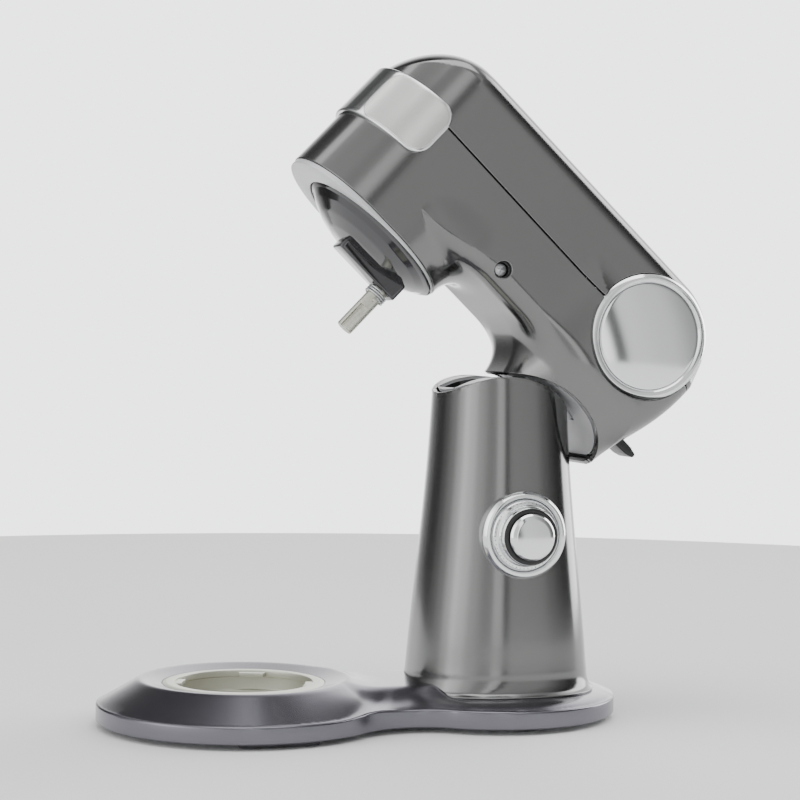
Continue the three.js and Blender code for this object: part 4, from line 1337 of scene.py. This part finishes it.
class MIXER_OT_plates(bpy.types.Operator):
    """Build the pale plates round the bell and in the foot of the neck"""

    bl_idname = "mixer.plates"
    bl_label = "Pale Plates"

    def execute(self, context):
        step, edge = 1.6 * MM, 0.5 * MM
        add_piece("bell_plate", bell_plate(), HEAD, "pale_plate", "head", ["nose_plate"])

        neck_high = head_box("neck_plate")[1]
        radius = NECK_R + 0.6 * MM
        points, triangles = barrel_sheet(radius, 60 * MM, -1.2, 1.2, step)
        triangles = triangles[:, ::-1]
        corner, half = 29.6 * MM, 40.85 * MM

        def neck(p):
            return round_box(
                np.abs(p[:, 0]) - (neck_high[0] - corner), np.abs(p[:, 1] - NECK_U) - (half - corner),
                corner) + edge

        def slot(p):
            return np.minimum(14 * MM + edge - np.abs(p[:, 0]), np.minimum(
                p[:, 1] + 30 * MM + edge, 18 * MM + edge - p[:, 1]))

        for trim in (neck, slot):
            points, triangles = trimmed(points, triangles, trim, step)
        cover = thick(
            points, triangles, lambda p: radius - np.hypot(p[:, 1], p[:, 2]), 2.8 * MM, edge)
        add_piece("neck_liner", cover, HEAD, "pale_plate", "head", ["neck_plate"])
        return {"FINISHED"}


# Nose cover

SIDES = ((-1, "left"), (1, "right"))


def rolled_plate(reach, start, end, low, high, wall, corner, edge=1.2 * MM):
    """A plate rolled round the nose, with start and end measured along it and reach as its outer radius."""
    half_turn = math.pi / 2 * reach
    centre, side = (start + end) / 2, (end - start) / 2 - edge
    middle, half = (low + high) / 2, (high - low) / 2
    bend = 1 - np.cos(np.linspace(0, math.pi / 2, 16))
    count = max(12, int(2 * (side - corner) / (1.4 * MM)))
    stations = np.concatenate([
        -side + corner * bend, np.linspace(-side + corner, side - corner, count)[1:-1],
        (side - corner * bend)[::-1]])
    into = np.maximum(corner - (side - np.abs(stations)), 0)
    rise = half - edge - corner + np.sqrt(np.maximum(corner ** 2 - into ** 2, 0))

    def rolled(s, w, proud):
        """Points at a distance along the plate and a height, proud of its outer face."""
        s = s + centre
        turned = np.clip(s, -half_turn, half_turn)
        radius = reach + proud
        turn = turned / reach
        x = radius * np.sin(turn)
        return np.column_stack([x, NOSE_U - radius * np.cos(turn) + np.abs(s - turned), w])

    s, v = np.meshgrid(stations, np.linspace(-1, 1, 26), indexing="ij")
    w = middle + v * rise[:, None]
    index = np.arange(s.size).reshape(s.shape)
    quads = np.stack([index[:-1, :-1], index[1:, :-1], index[1:, 1:], index[:-1, 1:]], -1).reshape(-1, 4)
    loop = np.concatenate([index[:, 0], index[-1, 1:], index[-2::-1, -1], index[0, -2:0:-1]])
    flat = np.column_stack([s.ravel(), w.ravel()])
    along = np.roll(flat[loop], -1, 0) - np.roll(flat[loop], 1, 0)
    out = np.column_stack([along[:, 1], -along[:, 0]])
    out /= np.linalg.norm(out, axis=1)[:, None]
    sheets = [rolled(flat[:, 0], flat[:, 1], 0.0), rolled(flat[:, 0], flat[:, 1], -wall)]
    rims, first = [loop], 2 * s.size
    for reach_out, drop in [*quarter(7), (1, wall / edge)]:
        at = flat[loop] + out * edge * reach_out
        sheets.append(rolled(at[:, 0], at[:, 1], -edge * drop))
        rims.append(np.arange(first, first + len(loop)))
        first += len(loop)
    rims.append(loop + s.size)
    faces = [tuple(q) for q in quads] + [tuple(q[::-1] + s.size) for q in quads]
    here = np.arange(len(loop))
    faces += walls(rims, here, np.roll(here, -1))
    return outwards(np.concatenate(sheets), faces)


class MIXER_OT_nose_cover(bpy.types.Operator):
    """Build the plated cover round the nose and the satin panels on its sides"""

    bl_idname = "mixer.nose_cover"
    bl_label = "Nose Cover"

    def execute(self, context):
        reach = COVER_HIGH[0]
        end = (math.pi / 2 - math.asin(min(1, (NOSE_U - COVER_HIGH[1]) / reach))) * reach
        band = rolled_plate(reach, -end, end, COVER_LOW[2], COVER_HIGH[2], 2.6 * MM, 12 * MM)
        add_piece("nose_band", band, HEAD, "chrome", "hub_cover", ["hub_cover"])
        for side, name in SIDES:
            span = sorted((side * math.radians(27) * reach, side * (end - 1.4 * MM)))
            panel = rolled_plate(
                reach + 0.5 * MM, *span, COVER_LOW[2] + 1.4 * MM, COVER_HIGH[2] - 1.4 * MM, 0.9 * MM,
                11 * MM, 0.5 * MM)
            add_piece(f"nose_panel_{name}", panel, HEAD, "satin_plate", "hub_cover")
        return {"FINISHED"}


# Medallions and side screws


class MIXER_OT_medallions(bpy.types.Operator):
    """Build the plated ring and domed disc on both sides of the hinge"""

    bl_idname = "mixer.medallions"
    bl_label = "Medallions"

    def execute(self, context):
        inner = 37 * MM
        face, top = RING_LOW[0], RING_HIGH[0]
        ring = spun(eased([
            (inner, face), (MEDALLION_R, face), (MEDALLION_R, top - 1.8 * MM, 0.8 * MM),
            (41 * MM, top, 1 * MM), (38.6 * MM, top - 0.4 * MM, 0.6 * MM), (inner, top - 1.8 * MM)],
            0.3 * MM, closed=True), sides=160, ring=True)
        dome_r, dome_top = (DISC_HIGH[1] - DISC_LOW[1]) / 2, DISC_HIGH[0]
        rise = 3.6 * MM
        sphere = (dome_r ** 2 + rise ** 2) / (2 * rise)
        crown = [(r, dome_top - sphere + math.sqrt(sphere ** 2 - r ** 2))
                 for r in np.linspace(dome_r - 0.6 * MM, 0, 26)]
        disc = spun([(0, face), (dome_r, face), (dome_r, crown[0][1] - 0.6 * MM),
                     (dome_r - 0.18 * MM, crown[0][1] - 0.18 * MM), *crown], sides=160)
        for side, name in SIDES:
            axes = HEAD @ sideways(TAIL_U, TAIL_W, side)
            add_piece(f"medallion_ring_{name}", ring, axes, "chrome", "head", [f"side_ring_{name}"])
            add_piece(f"medallion_disc_{name}", disc, axes, "chrome", "head", [f"side_disc_{name}"])
        return {"FINISHED"}


def pan_screw(radius, shank, low, top):
    """A pan-head screw along Z with a cross recess."""
    head = spun(eased([
        (0, low), (shank, low), (shank, top - 2.6 * MM), (radius, top - 2.6 * MM),
        (radius, top - 0.9 * MM, 1 * MM), (0, top, 0.1 * MM)], 0.3 * MM), sides=48)
    bars = []
    for turn in (20, 110):
        outline = rounded_box(-radius * 0.62, radius * 0.62, -0.5 * MM, 0.5 * MM, 0.3 * MM, 3)
        bar = slab(outline, top - 1.4 * MM, top + 2 * MM, 0.05 * MM, steps=2)
        bars.append(moved(bar, turned(turn)))
    return carved(head, bars)


class MIXER_OT_side_screws(bpy.types.Operator):
    """Build the recessed screws low on both sides of the beam, each in a black cup that paints the shade
    inside its recess
    """

    bl_idname = "mixer.side_screws"
    bl_label = "Side Screws"

    def execute(self, context):
        low, high = head_box("beam_screw_right")
        screw = pan_screw((high[1] - low[1]) / 2, 2.6 * MM, low[0], high[0])
        for side, name in SIDES:
            axes = HEAD @ sideways(SCREW_U, SCREW_W, side)
            add_piece(f"side_screw_{name}", screw, axes, "steel", "head", [f"beam_screw_{name}"])
            # A black cup lines each screw's recess: painted shade inside the hole round the screw.
            cup = spun(eased([
                (3.2 * MM, 45 * MM), (5.9 * MM, 45 * MM), (5.9 * MM, 53.5 * MM), (5.2 * MM, 53.5 * MM),
                (5.2 * MM, 45.8 * MM), (3.2 * MM, 45.8 * MM)], 0.1 * MM, closed=True), sides=48, ring=True)
            add_piece(f"screw_shade_cup_{name}", cup, axes, "black", "head")
        return {"FINISHED"}


# Planetary drive


def bell_solid():
    """The dark domed bell and the arm under it that carries the beater shaft."""
    low, high = BELL_LOW[2], BELL_HIGH[2]
    rim = 53.4 * MM
    bore_r, half = 6.35 * MM, 11 * MM
    dome = spun(eased([
        (0, 39 * MM), (13 * MM, 39 * MM, 5 * MM), (26 * MM, 40.8 * MM, 20 * MM),
        (38 * MM, 44.4 * MM, 20 * MM), (47 * MM, 48.8 * MM, 12 * MM), (51.6 * MM, 52.0 * MM, 3 * MM),
        (53.2 * MM, 52.6 * MM, 0.5 * MM), (BELL_R, rim, 0.5 * MM), (BELL_R, rim + 1.6 * MM),
        (50 * MM, rim + 3 * MM), (50 * MM, high), (0, high)], 0.5 * MM, steps=8), sides=160)
    outline = [(-half, BELL_U - 14 * MM), (half, BELL_U - 14 * MM), (half, SHAFT_U + 10 * MM),
               (-half, SHAFT_U + 10 * MM)]
    arm = slab(eased(outline, 3 * MM, closed=True, steps=6), low, 46 * MM, 1.2 * MM, steps=5)
    bore = spun([(0, 0), (bore_r, 0), (bore_r, 80 * MM), (0, 80 * MM)], 48)
    solid = carved(moved(dome, shifted(y=BELL_U)), [arm], "UNION")
    return carved(solid, [moved(bore, shifted(y=SHAFT_U))])


def beater_shaft():
    """The drive shaft: a turned end and an L-shaped key slot."""
    low, high = head_box("beater_shaft")
    radius = high[0]
    shaft = spun(eased([
        (0, low[2]), (radius, low[2], 1.1 * MM), (radius, 34 * MM), (radius, high[2]), (0, high[2])],
        0.2 * MM, steps=5), sides=64)
    cuts = []
    for width, bottom in ((1.4 * MM, low[2] - 3 * MM), (7 * MM, 13.5 * MM)):
        outline = rounded_box(-1.4 * MM, width, -9 * MM, -3.6 * MM, 0.6 * MM, 3)
        cuts.append(moved(slab(outline, bottom, 17 * MM, 0.05 * MM, 2), turned(55)))
    return carved(shaft, cuts)


def shaft_spring():
    """The coil spring on the beater shaft."""
    low, high = head_box("shaft_spring")
    wire = 0.72 * MM
    radius = (high[0] - low[0]) / 2 - wire
    turns = sizes().spring_turns
    turn = np.linspace(0, 2 * math.pi * turns, int(40 * turns))
    rise = np.linspace(low[2] + wire, high[2] - wire, len(turn))
    return tube(np.column_stack([radius * np.cos(turn), radius * np.sin(turn), rise]), wire, 12)


class MIXER_OT_planetary(bpy.types.Operator):
    """Build the bell, the beater shaft, its pin and its spring"""

    bl_idname = "mixer.planetary"
    bl_label = "Planetary Drive"

    def execute(self, context):
        add_piece("bell", bell_solid(), HEAD, "bell_enamel", "planet_carrier", ["planet_carrier"])
        axes = HEAD @ shifted(y=SHAFT_U)
        add_piece("drive_shaft", beater_shaft(), axes, "nickel", "beater", ["beater_shaft"])
        add_piece("coil_spring", shaft_spring(), axes, "steel", "beater", ["shaft_spring"])
        low, high = head_box("cross_pin")
        radius, reach = (high[2] - low[2]) / 2, high[0]
        pin = spun(eased([(0, -reach), (radius, -reach), (radius, reach), (0, reach)], 0.4 * MM), sides=32)
        axes = HEAD @ sideways(SHAFT_U, (low[2] + high[2]) / 2)
        add_piece("tool_pin", pin, axes, "nickel", "beater", ["cross_pin"])
        return {"FINISHED"}


class MIXER_OT_lever(bpy.types.Operator):
    """Build the head release lever"""

    bl_idname = "mixer.lever"
    bl_label = "Release Lever"

    def execute(self, context):
        pivot = in_head(np.array(JOINTS["lever_press"]["pos_m"]))[1:]
        low, high = head_box("release_lever")
        tip = high[1] - pivot[0]
        outline = eased([
            (-5 * MM, -4 * MM, 2 * MM), (14 * MM, -3.2 * MM, 6 * MM), (tip - 6 * MM, -2.4 * MM, 6 * MM),
            (tip, -0.6 * MM, 1.6 * MM), (tip, 2.6 * MM, 1.8 * MM), (tip - 8 * MM, 4 * MM, 8 * MM),
            (12 * MM, 4 * MM, 4 * MM), (-5 * MM, 4 * MM, 2 * MM)], 1 * MM, closed=True, steps=6)
        blade = slab(outline, low[0], high[0], 1.2 * MM, steps=5)
        ribs = []
        for i in range(4):
            outline = arc((tip - (5 + 3.2 * i) * MM, 4.0 * MM), 0.7 * MM, 0, 359, 14)
            ribs.append(slab(outline, low[0] + 3 * MM, high[0] - 3 * MM, 0.3 * MM, 3))
        lever, axes = merged(blade, *ribs), HEAD @ sideways(*pivot)
        add_piece("lever_blade", lever, axes, "black", "release_lever", ["release_lever"])
        return {"FINISHED"}


# CAD nodes that stay as they are

KEPT_FINISHES = {
    "steel": [
        "base_cover", "hinge_pin", "column_screw_1", "column_screw_2", "column_screw_3", "column_screw_4",
        "hinge_arm", "lever_pin", "main_shaft", "ring_gear", "planet_gear", "lay_shaft", "lay_pinion",
        "motor_pulley", "motor_case", "gearbox_floor", "gearbox_lid", "hub_socket", "hub_shaft"],
    "bronze": ["hinge_bush_left", "hinge_bush_right", "main_bearing_lower", "main_bearing_upper"],
    "black": ["speed_sensor", "lay_pulley", "motor_end_cap", "cooling_fan"],
    "rubber": ["cord_gland", "drive_belt"],
    "windings": ["armature"],
    "nylon": ["main_gear", "main_bevel"],
    "board": ["control_board"],
}


class MIXER_OT_inner_parts(bpy.types.Operator):
    """Finish the working parts that keep their own shape"""

    bl_idname = "mixer.inner_parts"
    bl_label = "Working Parts"

    def execute(self, context):
        for finish, nodes in KEPT_FINISHES.items():
            for node in nodes:
                materials = frame["nodes"][node].data.materials
                materials.clear()
                materials.append(FINISHES[finish]())
        return {"FINISHED"}


# Studio

FLOOR_RADIUS = 1.4
FLOOR_Z = -0.2 * MM

# Brightness of the studio's walls: degrees from the nose towards the knob side, and brightness there.
WALL_TONES = [
    (0, 1.9), (14, 3.2), (30, 2.6), (50, 1.5), (72, 0.85), (82, 0.9), (84, 1.9), (94, 1.9), (95, 0.02),
    (100.5, 0.02), (101.5, 0.95), (122, 0.8), (138, 0.42), (152, 0.2), (166, 0.05), (182, 0.02), (187, 6.0),
    (211, 6.0), (218, 1.8), (245, 3.2), (262, 2.6), (282, 0.6), (292, 0.10), (306, 0.10), (318, 0.32),
    (340, 0.8), (360, 1.9)]

# The same for directions well above the walls.
OVERHEAD_TONES = [
    (0, 1.0), (30, 0.85), (90, 0.7), (180, 0.7), (250, 0.72), (278, 0.5), (290, 0.03), (326, 0.03),
    (331, 2.8), (348, 2.8), (354, 1.0), (360, 1.0)]


def studio_light():
    """Soft light that varies round the studio and overhead, behind a plain pale backdrop."""
    world = bpy.data.worlds.new("studio")
    bpy.context.scene.world = world
    shader = Shader(world)
    direction = shader.node("ShaderNodeTexCoord", output=0)
    parts = [shader.node("ShaderNodeSeparateXYZ", {}, {0: direction}, output=i) for i in range(3)]
    turn = parts[0].maths("ARCTAN2", parts[0], 0 - parts[1])
    around = turn.maths("FRACT", turn / (2 * math.pi) + 1.0)
    lean = parts[2] * 0.05
    around = around.maths("FRACT", around + lean + 1.0)
    peak = max(tone for _, tone in WALL_TONES)
    tones = []
    for table in (WALL_TONES, OVERHEAD_TONES):
        stops = [(angle / 360, (tone / peak,) * 3) for angle, tone in table]
        tones.append(shader.node("ShaderNodeValToRGB", {"stops": stops, "blend": "EASE"}, {0: around}))
    overhead = parts[2].between(0.60, 0.85)
    sky = shader.mix(overhead, *tones)
    light = shader.node("ShaderNodeBackground", {}, {"Color": sky, "Strength": peak * studio().wall_light})
    backdrop = shader.node("ShaderNodeBackground", {}, {"Color": (0.97, 0.98, 1, 1), "Strength": 3.2})
    seen = shader.node("ShaderNodeLightPath", output=0)
    shown = shader.node("ShaderNodeMixShader", {}, {0: seen, 1: light, 2: backdrop})
    shader.node_output("ShaderNodeOutputWorld", shown)


def soft_box(name, centre, target, size, power):
    """A rectangular soft light that faces a point."""
    data = bpy.data.lights.new(name, "AREA")
    data.shape = "RECTANGLE"
    data.size, data.size_y = size
    data.energy = power
    obj = bpy.data.objects.new(name, data)
    obj.location = centre
    obj.rotation_euler = (Vector(target) - Vector(centre)).to_track_quat("-Z", "Y").to_euler()
    bpy.context.scene.collection.objects.link(obj)


class MIXER_OT_stage(bpy.types.Operator):
    """Set up the floor, the studio light and the camera"""

    bl_idname = "mixer.stage"
    bl_label = "Stage"

    def execute(self, context):
        made, shader = material("studio_floor")
        if shader:
            tone = shader.mix(shader.noise(3, detail=2.0), (0.86, 0.86, 0.865), (0.90, 0.90, 0.90))
            shader.finish(tone, 0.9)
        turn = np.linspace(0, 2 * math.pi, 97)[:-1]
        rim = np.column_stack([
            FLOOR_RADIUS * np.cos(turn), FLOOR_RADIUS * np.sin(turn), np.full(len(turn), FLOOR_Z)])
        floor = new_object("studio_floor", rim, [tuple(range(len(turn)))])
        floor.data.materials.append(made)
        studio_light()
        soft_box("overhead_light", (0.3, 0, 2.6), (0, 0, 0), (1.8, 1.8), studio().key_light)
        self.add_camera(context)
        return {"FINISHED"}

    def add_camera(self, context):
        """The camera stands on a circle round the column and is turned, raised and rolled a little."""
        view = studio()
        centre = np.array([0, COLUMN_Y, 0])
        stand = np.array([
            view.distance * math.sin(view.azimuth), -view.distance * math.cos(view.azimuth), view.height])
        heading = math.atan2(-stand[1], -stand[0]) + view.yaw
        forward = np.array([
            math.cos(heading) * math.cos(view.pitch), math.sin(heading) * math.cos(view.pitch),
            math.sin(view.pitch)])
        right = np.cross(forward, [0, 0, 1])
        right /= np.linalg.norm(right)
        up = np.cross(right, forward)
        c, s = math.cos(view.roll), math.sin(view.roll)
        right, up = right * c - up * s, right * s + up * c
        data = bpy.data.cameras.new("camera")
        data.lens, data.sensor_width = view.lens, 36
        data.clip_end = 50
        camera = bpy.data.objects.new("camera", data)
        pose = np.eye(4)
        pose[:3, 0], pose[:3, 1], pose[:3, 2], pose[:3, 3] = right, up, -forward, centre + stand
        camera.matrix_world = Matrix(pose.tolist())
        context.scene.collection.objects.link(camera)
        context.scene.camera = camera


class MIXER_PT_panel(bpy.types.Panel):
    """Lists the builders, sizes and colours"""

    bl_idname = "MIXER_PT_panel"
    bl_label = "Stand Mixer"
    bl_space_type = "VIEW_3D"
    bl_region_type = "UI"
    bl_category = "Mixer"

    def draw(self, context):
        for builder in BUILDERS:
            self.layout.operator(builder.bl_idname)
        for group in (context.scene.mixer_sizes, context.scene.mixer_colours, context.scene.mixer_studio):
            box = self.layout.box()
            for name in type(group).__annotations__:
                box.prop(group, name)


BUILDERS = [
    MIXER_OT_stage, MIXER_OT_base, MIXER_OT_feet, MIXER_OT_bowl_clamp, MIXER_OT_column, MIXER_OT_column_cap,
    MIXER_OT_speed_knob, MIXER_OT_head, MIXER_OT_plates, MIXER_OT_nose_cover, MIXER_OT_medallions,
    MIXER_OT_side_screws, MIXER_OT_planetary, MIXER_OT_lever, MIXER_OT_inner_parts]
GROUPS = [MixerSizes, MixerColours, MixerStudio]


def register():
    """Registers the classes and gives the scene its properties."""
    for cls in [*GROUPS, *BUILDERS, MIXER_PT_panel]:
        bpy.utils.register_class(cls)
    bpy.types.Scene.mixer_sizes = bpy.props.PointerProperty(type=MixerSizes)
    bpy.types.Scene.mixer_colours = bpy.props.PointerProperty(type=MixerColours)
    bpy.types.Scene.mixer_studio = bpy.props.PointerProperty(type=MixerStudio)


def unregister():
    """Takes back what register did."""
    del bpy.types.Scene.mixer_studio
    del bpy.types.Scene.mixer_colours
    del bpy.types.Scene.mixer_sizes
    for cls in reversed([*GROUPS, *BUILDERS, MIXER_PT_panel]):
        bpy.utils.unregister_class(cls)


def main():
    """Builds the mixer and its studio."""
    register()
    for builder in BUILDERS:
        group, name = builder.bl_idname.split(".")
        getattr(getattr(bpy.ops, group), name)()


if __name__ == "__main__":
    main()
